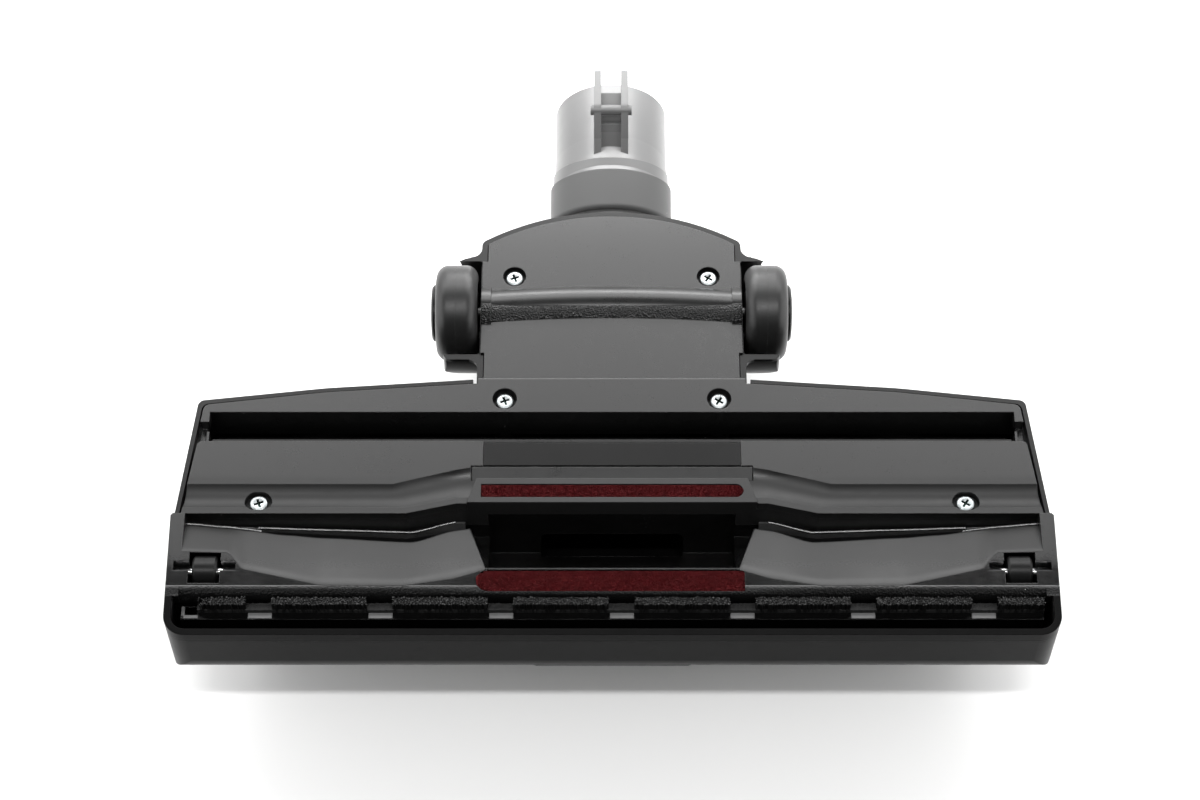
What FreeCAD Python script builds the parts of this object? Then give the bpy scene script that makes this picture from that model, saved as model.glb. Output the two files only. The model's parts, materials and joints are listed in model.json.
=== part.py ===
import FreeCAD, Part
import math
import os
import re
import Sketcher
from FreeCAD import Placement, Rotation, Vector

# A vacuum floor brush head, lying on its top cover with the sole up.
# Sizes are millimetres. In the working frame used below, X runs across the head, Y is the
# distance behind the front edge and Z is the height above the sole, so most heights are negative.
# Each piece is then placed so that the origin is under the middle of the head, at the floor.

SIZES = {
    # the head as a whole
    "overall_depth": 224.5,
    "sole_height": 56.0,
    "head_depth": 94.8,
    "half_width": 141.0,
    "rear_half_width": 135.3,
    "front_step_y": 43.4,
    "seam_depth": 4.6,
    "wall": 2.0,
    "gap": 0.3,
    # top cover
    "nose_depth": 30.0,
    "wing_depth": 36.0,
    "hump_half_width": 45.0,
    "hump_start_y": 50.0,
    "neck_half_width": 44.4,
    "neck_arc_radius": 84.0,
    "neck_arc_y": 84.4,
    "neck_corner_radius": 3.0,
    "neck_rim_depth": 10.8,
    "knee_slot_half": 22.5,
    "knee_slot_y": 122.5,
    # front slot and brush
    "front_slot_end_y": 14.1,
    "front_slot_half": 138.2,
    "tuft_y": 9.6,
    "tuft_depth": 4.0,
    "tuft_top": 0.5,
    "tuft_pitch": 38.0,
    "tuft_gap": 8.0,
    "tuft_first_x": -130.7,
    "tuft_last_x": 135.8,
    "backing_top": 4.6,
    "carrier_top": 6.5,
    "carrier_half": 136.0,
    "carrier_y": 8.6,
    "carrier_end_y": 13.4,
    # sole
    "skin": 2.2,
    "channel_end_half": 136.4,
    "mouth_half": 40.0,
    "mouth_y": 23.5,
    "mouth_end_y": 47.3,
    "cheek_x": 50.0,
    "cheek_depth": 15.2,
    "rear_pad_half": 46.5,
    "rear_pad_end_half": 43.7,
    "rear_pad_end_y": 56.2,
    "slope_half": 45.3,
    "slope_end_y": 60.6,
    "slope_depth": 2.6,
    "pad_end_y": 70.0,
    "pad_thickness": 4.5,
    "pad_half": 137.9,
    "pad_end_half": 134.4,
    "panel_half": 41.6,
    "panel_y": 60.9,
    "rear_slot_end_y": 81.0,
    "rear_slot_half": 131.0,
    "rear_notch_y": 77.3,
    "lower_deck": 6.7,
    # lint strips
    "front_lint_y": 15.3,
    "front_lint_depth": 7.5,
    "front_lint_left": 42.9,
    "front_lint_right": 41.7,
    "rear_lint_y": 49.2,
    "rear_lint_depth": 4.8,
    "rear_lint_half": 42.1,
    "lint_thickness": 1.8,
    # screws
    "screw_head_radius": 3.0,
    "screw_head_height": 1.9,
    "screw_shank_radius": 1.5,
    "screw_length": 12.0,
    "flange_screw_x": 35.1,
    "flange_screw_y": 86.1,
    "flange_hole_radius": 4.0,
    "flange_seat": 3.3,
    "sole_screw_x": 113.5,
    "sole_screw_y": 48.4,
    "sole_hole_radius": 3.4,
    "sole_hole_half": 4.4,
    "neck_screw_x": 33.0,
    "neck_screw_y": 141.0,
    "neck_hole_radius": 3.9,
    "neck_seat": 12.8,
    # neck plate
    "plate_top": 10.0,
    "plate_thickness": 2.2,
    "plate_half": 44.0,
    "plate_wide_y": 110.0,
    "plate_wide_end_y": 147.4,
    "bulge_radius": 8.0,
    "bulge_half": 40.9,
    "bulge_rise": 1.7,
    "bulge_collar_radius": 8.8,
    # wheels
    "axle_y": 129.0,
    "axle_depth": 14.5,
    "axle_radius": 2.0,
    "axle_half": 59.0,
    "wheel_radius": 16.3,
    "wheel_inner_x": 45.2,
    "wheel_outer_x": 59.3,
    "hub_radius": 11.0,
    "cap_radius": 9.6,
    "cap_outer_x": 60.8,
    "running_gap": 0.06,
    "arch_radius": 19.2,
    "arch_wall": 1.2,
    "arch_lip": 0.8,
    "arch_lip_height": 1.3,
    "arch_outer_x": 57.0,
    # rollers
    "roller_x": 128.8,
    "roller_y": 24.4,
    "roller_radius": 5.2,
    "roller_width": 7.8,
    "roller_depth": 4.5,
    "roller_pin_radius": 1.5,
    "roller_pin_half": 9.6,
    "roller_slot_half": 9.9,
    # knee, collar and tube
    "knee_y": 146.0,
    "knee_depth": 31.7,
    "drum_radius": 19.0,
    "drum_half": 26.0,
    "journal_radius": 6.0,
    "journal_end_x": 29.4,
    "saddle_x": 26.4,
    "knee_neck_radius": 18.6,
    "air_radius": 16.3,
    "swivel_y": 191.5,
    "swivel_depth": 31.2,
    "swivel_tilt": 13.5,
    "collar_radius": 21.4,
    "collar_length": 15.0,
    "seat_radius": 19.6,
    "tube_radius": 19.8,
    "tube_root_radius": 20.45,
    "socket_radius": 17.5,
    "socket_length": 30.0,
    "hook_half": 6.0,
    "hook_fin": 2.5,
    "hook_foot_y": 194.7,
    "hook_rise": 11.3,
    "hook_end_y": 222.6,
    # suction duct
    "duct_half": 25.2,
    "duct_top": 19.5,
    "duct_bottom": 41.0,
    "duct_wall": 1.8,
    "duct_end_y": 122.0,
    # pedal
    "pedal_half": 24.0,
    "pedal_reach": 19.0,
    "pedal_pivot_y": 82.0,
    "pedal_pivot_depth": 46.5,
    "pedal_pin_radius": 1.5,
    "pedal_arm": 25.0,
    "pedal_half_travel": 6.9,
    "pedal_plate": 2.4,
    "leg_x": 27.5,
    "leg_thickness": 3.0,
    # brush frame
    "arm_x": 60.0,
    "arm_depth": 23.0,
    "arm_thickness": 3.0,
    "bridge_depth": 16.0,
    "blade_tip": 2.5,
}

doc = FreeCAD.newDocument("floor_head")
sheet = doc.addObject("Spreadsheet::Sheet", "Sizes")
for row, (alias, value) in enumerate(SIZES.items(), start=1):
    sheet.set(f"A{row}", alias)
    sheet.set(f"B{row}", str(value))
    sheet.setAlias(f"B{row}", alias)
doc.recompute()


class Size:
    """Reads a size from the sheet by its name, as in size.wall."""

    def __getattr__(self, name):
        return float(getattr(sheet, name))


size = Size()
nodes = []
FRONT = -size.overall_depth / 2
WORKING_FRAME = Placement(Vector(0, FRONT, size.sole_height), Rotation())
probe = doc.addObject("App::FeaturePython", "Probe")
probe.addProperty("App::PropertyFloat", "Value")


def in_sheet(text):
    """Write the names of sizes in an expression as the sheet's cells."""
    return re.sub(r"[a-z_]+", lambda word: "Sizes." + word[0] if word[0] in SIZES else word[0], text)


def bind(thing, prop, text):
    thing.setExpression(prop, in_sheet(text))


def number(text):
    """The value of an expression over the names in the sheet."""
    probe.setExpression("Value", in_sheet(text))
    probe.recompute()
    return probe.Value


def keep(thing, name):
    """Make an object a named piece of the head."""
    thing.Label = name
    nodes.append((name, thing))
    return thing


def place(thing, x="0", y="0", z="0"):
    """Bind a piece's place, given in the working frame."""
    bind(thing, ".Placement.Base.x", x)
    bind(thing, ".Placement.Base.y", f"{y} - overall_depth / 2")
    bind(thing, ".Placement.Base.z", f"{z} + sole_height")


def moulding(name, shape):
    """Keep a shape that was made in the working frame."""
    piece = doc.addObject("Part::Feature", name)
    piece.Shape = shape
    piece.Placement = WORKING_FRAME * shape.Placement
    return keep(piece, name)


def outline(body, plane, points, name="Outline"):
    """A closed sketch whose corners are bound to pairs of expressions."""
    planes = {feature.Role: feature for feature in body.Origin.OriginFeatures}
    sketch = body.newObject("Sketcher::SketchObject", name)
    sketch.AttachmentSupport = [(planes[plane], "")]
    sketch.MapMode = "FlatFace"
    corners = [Vector(number(across), number(up), 0) for across, up in points]
    for start, end in zip(corners, corners[1:] + corners[:1]):
        sketch.addGeometry(Part.LineSegment(start, end), False)
    for line in range(len(points)):
        following = (line + 1) % len(points)
        sketch.addConstraint(Sketcher.Constraint("Coincident", line, 2, following, 1))
    for line, (across, up) in enumerate(points):
        for kind, text in (("DistanceX", across), ("DistanceY", up)):
            limit = sketch.addConstraint(Sketcher.Constraint(kind, -1, 1, line, 1, number(text)))
            bind(sketch, f"Constraints[{limit}]", text)
    return sketch


def turned(name, points, plane="XY_Plane", axis="H_Axis"):
    """A piece turned about its own axis from half its section."""
    body = doc.addObject("PartDesign::Body", name)
    profile = outline(body, plane, points)
    turn = body.newObject("PartDesign::Revolution", "Turn")
    turn.Profile = (profile, [])
    turn.ReferenceAxis = (profile, [axis])
    turn.Angle = 360
    doc.recompute()
    return keep(body, name)


def padded(name, points, thickness, plane="XY_Plane", both_ways=False):
    """A piece of constant section."""
    body = doc.addObject("PartDesign::Body", name)
    pad = body.newObject("PartDesign::Pad", "Pad")
    pad.Profile = (outline(body, plane, points), [])
    bind(pad, "Length", thickness)
    pad.Midplane = both_ways
    doc.recompute()
    return keep(body, name)


def round_edges(body, radius, chosen):
    """Round the edges of a body's last feature that pass a test."""
    edges = [f"Edge{i}" for i, edge in enumerate(body.Shape.Edges, start=1) if chosen(edge)]
    sharp = body.Tip
    rounding = body.newObject("PartDesign::Fillet", "Rounding")
    rounding.Base = (sharp, edges)
    bind(rounding, "Radius", radius)
    doc.recompute()
    return body


def mirrored_node(source, name):
    """The same piece on the other side of the head."""
    twin = doc.addObject("Part::Mirroring", name)
    twin.Source = source
    twin.Normal = Vector(1, 0, 0)
    doc.recompute()
    return keep(twin, name)


def rounded_wire(points, to_space):
    """A closed wire through (u, v, corner radius) points, with true arcs at the round corners."""
    corners = [(to_space(u, v), radius) for u, v, radius in points]
    edges = []
    joints = []
    for i, (corner, radius) in enumerate(corners):
        before = (corners[i - 1][0] - corner).normalize()
        after = (corners[(i + 1) % len(corners)][0] - corner).normalize()
        if radius == 0:
            joints.append((corner, None, corner))
            continue
        half_angle = before.getAngle(after) / 2
        reach = radius / math.tan(half_angle)
        middle = corner + (before + after).normalize() * radius * (1 / math.sin(half_angle) - 1)
        joints.append((corner + before * reach, middle, corner + after * reach))
    for i, (enter, middle, leave) in enumerate(joints):
        if middle is not None:
            edges.append(Part.Arc(enter, middle, leave).toShape())
        arrive = joints[(i + 1) % len(joints)][0]
        if (arrive - leave).Length > 1e-6:
            edges.append(Part.LineSegment(leave, arrive).toShape())
    return Part.Wire(edges)


def plan(points, low, high):
    """A prism with its outline in plan."""
    face = Part.Face(rounded_wire(points, lambda x, y: Vector(x, y, low)))
    return face.extrude(Vector(0, 0, high - low))


def lengthwise(points, left, right):
    """A prism across the head from an outline of (y, z) points."""
    face = Part.Face(rounded_wire(points, lambda y, z: Vector(left, y, z)))
    return face.extrude(Vector(right - left, 0, 0))


def crosswise(points, near, far):
    """A prism along the head from an outline of (x, z) points."""
    face = Part.Face(rounded_wire(points, lambda x, z: Vector(x, near, z)))
    return face.extrude(Vector(0, far - near, 0))


def block(x1, x2, y1, y2, z1, z2):
    return Part.makeBox(x2 - x1, y2 - y1, z2 - z1, Vector(x1, y1, z1))


def rod(radius, start, end):
    """A cylinder between two points."""
    start, end = Vector(*start), Vector(*end)
    return Part.makeCylinder(radius, (end - start).Length, start, end - start)


def both_sides(shape):
    """A shape and its mirror image across the head's middle."""
    return [shape, shape.mirror(Vector(0, 0, 0), Vector(1, 0, 0))]


def joined(shapes):
    return shapes[0].multiFuse(shapes[1:]).removeSplitter()


def mirrored_outline(right):
    """Close an outline given from the front to the rear on the right side."""
    return right + [(-x, y, radius) for x, y, radius in reversed(right)]


# The head's outline is shared by the cover and the sole.
FAR_DOWN = -80.0
FAR_UP = 20.0


def head_outline(inset):
    return mirrored_outline([
        (size.half_width - 0.7 - inset, inset, 7.0 - inset),
        (size.half_width - inset, size.front_step_y - 0.8, 0),
        (size.half_width - 1.2 - inset, size.front_step_y + 0.6, 0),
        (size.rear_half_width - inset, 85.8 - inset, 2.4),
        (94.0, 90.6 - inset, 120.0),
        (size.neck_half_width, 94.0 - inset, 60.0),
    ])


def wing_solid(inset, top):
    """The wide front part of the head, filled, with its walls moved in by the inset."""
    in_plan = plan(head_outline(inset), FAR_DOWN, top)
    from_side = lengthwise([
        (inset, FAR_UP, 0),
        (inset, -size.nose_depth + inset, 13.0 - inset),
        (60.0, -size.wing_depth + inset, 80.0),
        (size.head_depth + 5.0 - inset, -size.wing_depth + inset, 9.0 - inset),
        (size.head_depth + 5.0 - inset, FAR_UP, 0),
    ], -160, 160)
    # a hair lower than the side view's roof, so that the two never touch along a tangent
    roof = -size.wing_depth - 0.06 + inset
    from_front = crosswise([
        (-size.half_width + inset, FAR_UP, 0),
        (-size.half_width + inset, roof, 15.0 - inset),
        (size.half_width - inset, roof, 15.0 - inset),
        (size.half_width - inset, FAR_UP, 0),
    ], -20, 200)
    return in_plan.common(from_side).common(from_front)


def hump_solid(inset, top):
    """The raised middle of the cover with the neck housing, filled."""
    half = size.hump_half_width
    neck = size.neck_half_width
    in_plan = plan(mirrored_outline([
        (half - inset, -10, 0),
        (half - inset, size.plate_wide_y, 0),
        (neck - inset, size.plate_wide_y + 0.8, 0),
        (neck - inset, 180.0, 0),
    ]), FAR_DOWN, top)
    low = -size.sole_height + inset
    from_side = lengthwise([
        (4.0 + inset, FAR_UP, 0),
        (4.0 + inset, -size.nose_depth + inset, 0),
        (size.hump_start_y, low, 30.0),
        (size.neck_arc_y + size.neck_arc_radius - inset, low, 14.0 - inset),
        (size.neck_arc_y + size.neck_arc_radius - inset, FAR_UP, 0),
    ], -60, 60)
    from_front = crosswise([
        (-half + inset, FAR_UP, 0),
        (-half + inset, low, 16.0 - inset),
        (half - inset, low, 16.0 - inset),
        (half - inset, FAR_UP, 0),
    ], -20, 200)
    round_rear = Part.makeCylinder(
        size.neck_arc_radius - inset, FAR_UP - FAR_DOWN, Vector(0, size.neck_arc_y, FAR_DOWN))
    solid = in_plan.common(from_side).common(from_front).common(round_rear)
    for corner in both_sides(neck_corner(inset)):
        solid = solid.cut(corner)
    return solid


def neck_corner(inset):
    """What the rounding takes off the neck's rear right corner."""
    across = size.neck_half_width - size.neck_corner_radius
    reach = size.neck_arc_radius - size.neck_corner_radius
    back = math.sqrt(reach ** 2 - across ** 2)
    x, y = across, size.neck_arc_y + back
    far = 6.0
    wedge = plan([
        (x, y, 0),
        (x + far, y, 0),
        (x + far, y + far, 0),
        (x + far * across / reach, y + far * back / reach, 0),
    ], FAR_DOWN, FAR_UP)
    rounding = Part.makeCylinder(size.neck_corner_radius - inset, FAR_UP - FAR_DOWN, Vector(x, y, FAR_DOWN))
    return wedge.cut(rounding)


def wheel_arch():
    """The right wheel's fender: a shell round the wheel, with a lip along its rim."""
    inner_x = size.neck_half_width - 0.8
    top = -size.neck_rim_depth
    centre = Vector(inner_x, size.axle_y, -size.axle_depth)
    shell_radius = size.arch_radius + size.arch_wall
    across = Vector(1, 0, 0)
    outer_x = size.arch_outer_x
    in_plan = plan([
        (inner_x, 107.0, 0),
        (outer_x - 8.0, 107.0, 0),
        (outer_x - 0.5, 108.6, 2.5),
        (outer_x, size.axle_y, 0),
        (outer_x - 0.4, 145.6, 2.5),
        (outer_x - 7.0, 148.9, 6.0),
        (outer_x - 10.5, 149.8, 0),
        (inner_x, 150.5, 0),
    ], FAR_DOWN, top)
    # the shell is widest at the rim and narrow under the wheel
    from_front = crosswise([
        (inner_x, top, 0),
        (outer_x, top, 0),
        (outer_x, -20.0, 5.0),
        (outer_x - 6.5, -26.5, 4.0),
        (outer_x - 6.5, -37.0, 3.0),
        (inner_x, -37.0, 0),
    ], 100, 160)
    shell = Part.makeCylinder(shell_radius, 20, centre, across).common(from_front)
    lip = Part.makeCylinder(shell_radius + size.arch_lip, 20, centre, across)
    lip = lip.common(block(inner_x, outer_x, 100, 160, top - size.arch_lip_height, top))
    arch = shell.fuse(lip).common(in_plan)
    # concave corners lead from the neck's sides into the lip
    for near, far, radius in ((105.2, 108.4, 2.6), (149.0, 153.2, 3.6)):
        side = size.hump_half_width if near < size.axle_y else size.neck_half_width
        round_y = near if near < size.axle_y else far
        corner = block(inner_x, side + radius, near, far, top - size.arch_lip_height, top)
        arch = arch.fuse(corner.cut(rod(radius, (side + radius, round_y, -30), (side + radius, round_y, 0))))
    return arch.cut(Part.makeCylinder(size.arch_radius, 20, centre, across))


def top_cover():
    wall = size.wall
    rim = -size.seam_depth
    outer = joined([wing_solid(0, rim), hump_solid(0, -size.neck_rim_depth)])
    inner = joined([wing_solid(wall, FAR_UP), hump_solid(wall, FAR_UP)])
    shell = outer.cut(inner)
    # behind the step the cover's rim stands round the sole plate, nearly as high as the sole
    rim_ring = plan(head_outline(0), rim - 0.4, -0.7).cut(plan(head_outline(wall - 0.6), rim - 1, 1))
    rim_ring = rim_ring.cut(block(-200, 200, -5, size.front_step_y, -20, 10))
    rim_ring = rim_ring.cut(block(-size.neck_half_width - 1.2, size.neck_half_width + 1.2, 80, 120, -20, 10))
    # between the wheels the neck's sides are low, and the neck plate lies over them
    low_sides = block(-size.neck_half_width - 0.1, size.neck_half_width + 0.1, size.plate_wide_y,
                      size.plate_wide_end_y, -size.plate_top - size.plate_thickness - 0.1, FAR_UP)
    shell = joined([shell, rim_ring, *both_sides(wheel_arch())]).cut(low_sides)
    # saddles for the knee's journals, open upwards, and posts for the screws
    knee_z = -size.knee_depth
    saddle = block(size.saddle_x, size.saddle_x + 3.0, size.knee_y - 9, size.knee_y + 9, -55, knee_z)
    posts = [
        rod(3.4, (size.neck_screw_x, size.neck_screw_y, -55), (size.neck_screw_x, size.neck_screw_y, -24)),
        rod(4.0, (size.flange_screw_x, size.flange_screw_y, -55),
            (size.flange_screw_x, size.flange_screw_y, -16)),
        block(25.5, 27.3, size.pedal_pivot_y - 3, size.pedal_pivot_y + 3, -55, -43.5),
    ]
    inside = [part for shape in [saddle, *posts] for part in both_sides(shape)]
    inside = [part.common(outer) for part in inside]
    cover = joined([shell, *inside])
    pivot = (size.pedal_pivot_y, -size.pedal_pivot_depth)
    openings = [
        rod(size.journal_radius + size.running_gap, (-40, size.knee_y, knee_z), (40, size.knee_y, knee_z))
        .common(block(-30.5, 30.5, 130, 160, -60, 0)),
        block(-size.knee_slot_half, size.knee_slot_half, size.knee_slot_y, 190, -70, -30),
        block(-size.knee_slot_half, size.knee_slot_half, 155, 190, -70,
              -size.plate_top - size.plate_thickness),
        block(-size.drum_half - 1.2, size.drum_half + 1.2, 155, 190, -51.6,
              -size.plate_top - size.plate_thickness),
        block(-size.pedal_half - 1.0, size.pedal_half + 1.0,
              size.pedal_pivot_y - size.pedal_reach - 1.5, size.pedal_pivot_y + size.pedal_reach + 1.5,
              -70, -53.0),
        rod(size.axle_radius, (-70, size.axle_y, -size.axle_depth), (70, size.axle_y, -size.axle_depth)),
        rod(size.pedal_pin_radius, (-28, *pivot), (28, *pivot)),
    ]
    for part in both_sides(rod(size.screw_shank_radius, (size.neck_screw_x, size.neck_screw_y, -40),
                               (size.neck_screw_x, size.neck_screw_y, -20))):
        openings.append(part)
    for part in both_sides(rod(size.screw_shank_radius, (size.flange_screw_x, size.flange_screw_y, -40),
                               (size.flange_screw_x, size.flange_screw_y, -10))):
        openings.append(part)
    for opening in openings:
        cover = cover.cut(opening)
    moulding("top_cover", cover)


# The scooped ramps of the sole are one skin lofted through sections across the head. A station
# gives the place of the section, where the ramp leaves the sole, how round the edge along the
# front slot is, and the ramp's foot in the channel.
RAMP_STATIONS = [
    # x, ramp start, edge radius, foot y, foot depth, rear wall y
    (size.mouth_half, 23.4, 1.1, 42.6, 13.0, size.mouth_end_y),
    (size.cheek_x, 19.9, 2.0, 43.6, 13.0, size.mouth_end_y),
    (66.0, 17.4, 3.0, 41.0, 13.0, 43.7),
    (92.0, 17.6, 3.0, 41.6, 11.4, 43.7),
    (117.0, 23.4, 3.0, 42.2, 9.8, 43.7),
    (121.5, 29.2, 3.0, 42.4, 9.5, 43.7),
    (138.0, 29.6, 3.0, 42.6, 8.6, 43.7),
]
SLOT_WALL_DEPTH = 9.0


def ramp_outline(station):
    """The sole's outline at one station, from the front slot to the back of the channel's rear wall."""
    x, start, radius, foot, depth, rear = station
    slot = size.front_slot_end_y
    behind = rear + size.skin
    floor = -depth
    pad = -size.pad_thickness
    at = lambda y, z: Vector(x, y, z)
    rolled = radius * (1 - math.sqrt(0.5))
    cove = 0.6
    return [
        Part.LineSegment(at(slot, -SLOT_WALL_DEPTH), at(slot, -radius)),
        Part.Arc(at(slot, -radius), at(slot + rolled, -rolled), at(slot + radius, 0)),
        Part.LineSegment(at(slot + radius, 0), at(start, 0)),
        Part.Arc(at(start, 0), at(start + (foot - start) * 0.5, floor * 0.62), at(foot, floor)),
        Part.LineSegment(at(foot, floor), at(rear - cove, floor)),
        Part.Arc(at(rear - cove, floor), at(rear - cove * 0.29, floor + cove * 0.29), at(rear, floor + cove)),
        Part.LineSegment(at(rear, floor + cove), at(rear, pad)),
        Part.LineSegment(at(rear, pad), at(behind, pad)),
        Part.LineSegment(at(behind, pad), at(behind, floor - size.skin)),
    ]


def wire_through(edges, x, points):
    """Close a run of curves in a section across the head with straight lines through points."""
    corners = [Vector(x, y, z) for y, z in points]
    corners = [edges[-1].EndPoint, *corners, edges[0].StartPoint]
    lines = [Part.LineSegment(start, end) for start, end in zip(corners, corners[1:])]
    return Part.Wire([edge.toShape() for edge in [*edges, *lines]])


def ramp_section(station):
    """The closed section of the ramp's skin at one station."""
    x, start, radius, foot, depth, rear = station
    skin = size.skin
    inner = size.front_slot_end_y + 2.0
    at = lambda y, z: Vector(x, y, z)
    under = [
        Part.LineSegment(at(rear + skin, -depth - skin), at(foot - 0.8, -depth - skin)),
        Part.Arc(at(foot - 0.8, -depth - skin), at((start + foot) / 2 - 0.7, -depth * 0.62 - skin),
                 at(start - 0.8, -skin)),
    ]
    return wire_through([*ramp_outline(station), *under], x, [
        (inner, -skin), (inner, -SLOT_WALL_DEPTH)])


def mouth_cheek():
    """The solid lip of the sole on the right of the mouth."""
    sections = []
    for station in RAMP_STATIONS[:2]:
        sections.append(wire_through(ramp_outline(station), station[0], [
            (size.mouth_y, -size.cheek_depth), (size.mouth_y, -SLOT_WALL_DEPTH)]))
    return Part.makeLoft(sections, True, True)


def mouth_bevel():
    """What the bevel takes off the mouth's right lip: all that lies above a leaning plane."""
    corner = Vector(size.mouth_half, 24.0, -0.5)
    top = Vector(45.7, 35.0, -9.0) - corner
    foot = Vector(size.mouth_half, 35.0, -size.cheek_depth) - corner
    normal = top.cross(foot).normalize()
    along = top.normalize()
    half_space = Part.makeBox(120, 120, 60, Vector(-60, -60, 0))
    half_space.Placement = Placement(corner, Rotation(along, Vector(), normal, "ZXY"))
    reach = block(size.mouth_half - 1, 47.5, size.mouth_y, size.mouth_end_y, -20, 5)
    return half_space.common(reach)


def front_strip():
    """The strip between front slot and mouth, with its front edge rounded."""
    slot = size.front_slot_end_y
    return lengthwise([
        (slot, -8.0, 0),
        (slot, 0, RAMP_STATIONS[0][2]),
        (size.mouth_y, 0, 0),
        (size.mouth_y, -8.0, 0),
    ], -size.mouth_half, size.mouth_half)


def panel_slope():
    """The slope that rises from behind the rear lint strip to the centre panel."""
    return lengthwise([
        (size.rear_pad_end_y, -8.0, 0),
        (size.rear_pad_end_y, -size.slope_depth, 0),
        (size.slope_end_y, -0.3, 0),
        (size.slope_end_y, -8.0, 0),
    ], -size.slope_half, size.slope_half)


def base_plate():
    skin = size.skin
    slot_end = size.front_slot_end_y
    rear_slot = size.pad_end_y
    inside = plan(head_outline(size.wall + 0.1), FAR_DOWN, FAR_UP)
    # the front part reaches out over the cover's front edge, and stops under the bumper
    front = plan(head_outline(1.2), -size.seam_depth, -1.3).cut(plan(head_outline(2.2), -20, 5))
    front = front.common(block(-200, 200, -5, 13.6, -20, 5))
    front_wall = block(-132, 132, size.wall + 0.1, size.wall + 1.2, -10.0, -2.4)
    sides = plan(head_outline(0), -size.seam_depth, 0).cut(plan(head_outline(4.2), -20, 5))
    sides = sides.common(block(-200, 200, 13.6, size.front_step_y, -20, 5))
    ramp = Part.makeLoft([ramp_section(station) for station in RAMP_STATIONS[1:]], True, True)
    ramp = ramp.common(inside)
    end_wall = block(size.channel_end_half, 139.5, slot_end, 45.9, -12.0, -size.pad_thickness)
    end_wall = end_wall.fuse(block(size.channel_end_half, 139.5, slot_end, size.front_step_y, -12.0, 0))
    rear_pad = plan(mirrored_outline([
        (size.rear_pad_half, size.mouth_end_y, 0),
        (size.rear_pad_end_half, size.rear_pad_end_y, 0),
    ]), -8.0, 0)
    flange = plan(head_outline(size.wall), -size.seam_depth, 0)
    pieces = [
        *both_sides(ramp),
        *both_sides(mouth_cheek()),
        *both_sides(end_wall.common(inside)),
        front_strip(),
        rear_pad,
        panel_slope(),
        # the floor under the rear sole plates, the walls of the rear slot, and the flange
        plan(mirrored_outline([
            (size.cheek_x, 49.0, 0),
            (66.0, 45.4, 0),
            (136.0, 45.4, 0),
            (136.0, rear_slot, 0),
        ]), -size.lower_deck, -size.pad_thickness).common(inside),
        block(-136, 136, rear_slot - skin, rear_slot, -14.0, -size.pad_thickness).common(inside),
        flange.common(block(-137, 137, size.rear_slot_end_y, 96, -20, 5)),
        *both_sides(flange.common(block(size.rear_slot_half + 0.2, 137, size.rear_notch_y, 84, -20, 5))),
        block(-135, 135, size.rear_slot_end_y, size.rear_slot_end_y + skin, -14.0, -1).common(inside),
        # thin ribs at the ends of the rear slot
        *both_sides(block(size.rear_slot_half, size.rear_slot_half + 0.8, rear_slot, 74.2, -14.0, -1.0)),
        lengthwise([(90.0, -size.seam_depth, 0), (94.6, -size.seam_depth, 0), (94.6, 0, 1.0), (90.0, 0, 0)],
                   -44.0, 44.0),
        block(-41.9, 41.9, 92.4, 94.6, -12.0, -1.4),
        # a low wall inside the side rims carries the floor
        plan(head_outline(size.wall + 0.1), -size.lower_deck, -size.pad_thickness).cut(
            plan(head_outline(size.wall + 1.9), -30, 5)).common(block(-200, 200, 43.5, 83, -20, 5)),
        front,
        front_wall,
        sides.common(block(-200, 200, 0, 200, -size.seam_depth, 0)),
    ]
    # ribs that join the front edge to the bullnose past the ends of the brush
    rib = block(size.front_slot_half, 139.6, 1.5, slot_end + 1, -size.seam_depth, -1.4)
    pieces += both_sides(rib.common(plan(head_outline(1.25), -20, 5)))
    pieces += [cheek.common(inside) for cheek in roller_cheeks()]
    bosses = [
        rod(5.2, (size.flange_screw_x, size.flange_screw_y, -15.6),
            (size.flange_screw_x, size.flange_screw_y, -1)),
        rod(3.4, (size.sole_screw_x, size.sole_screw_y, -14.5),
            (size.sole_screw_x, size.sole_screw_y, -size.lower_deck)),
    ]
    pieces += [part for boss in bosses for part in both_sides(boss)]
    plate = joined(pieces)
    # openings
    lint = size.lint_thickness
    cuts = [
        block(-size.mouth_half, size.mouth_half, size.mouth_y, size.mouth_end_y, -30, 5),
        front_lint_shape(lint + 0.02),
        rear_lint_shape(lint + 0.02),
    ]
    flange_screw = (size.flange_screw_x, size.flange_screw_y)
    sole_screw = (size.sole_screw_x, size.sole_screw_y)
    roller_half = 5.0
    one_side = [
        mouth_bevel(),
        rod(size.flange_hole_radius, (*flange_screw, -size.flange_seat), (*flange_screw, 5)),
        rod(size.screw_shank_radius, (*flange_screw, -20), (*flange_screw, 5)),
        rod(size.screw_shank_radius, (*sole_screw, -20), (*sole_screw, 5)),
        # the roller's pocket and the slot that its pin lies in
        block(size.roller_x - roller_half, size.roller_x + roller_half, 18.2, 30.0, -30, 5),
        block(size.roller_x - size.roller_slot_half, size.roller_x + size.roller_slot_half,
              size.roller_y - 1.7, size.roller_y + 1.7, -size.roller_depth, 5),
        rod(size.roller_pin_radius, (size.roller_x - size.roller_pin_half, size.roller_y,
                                     -size.roller_depth),
            (size.roller_x + size.roller_pin_half, size.roller_y, -size.roller_depth)),
    ]
    cuts += [part for shape in one_side for part in both_sides(shape)]
    for shape in cuts:
        plate = plate.cut(shape)
    moulding("base_plate", plate)


def roller_cheeks():
    """Blocks under the sole that hold the roller's pin."""
    cheek = block(size.roller_x - 10.6, size.roller_x + 9.9, 20.4, 28.4, -8.4, -1.0)
    return both_sides(cheek)


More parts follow.
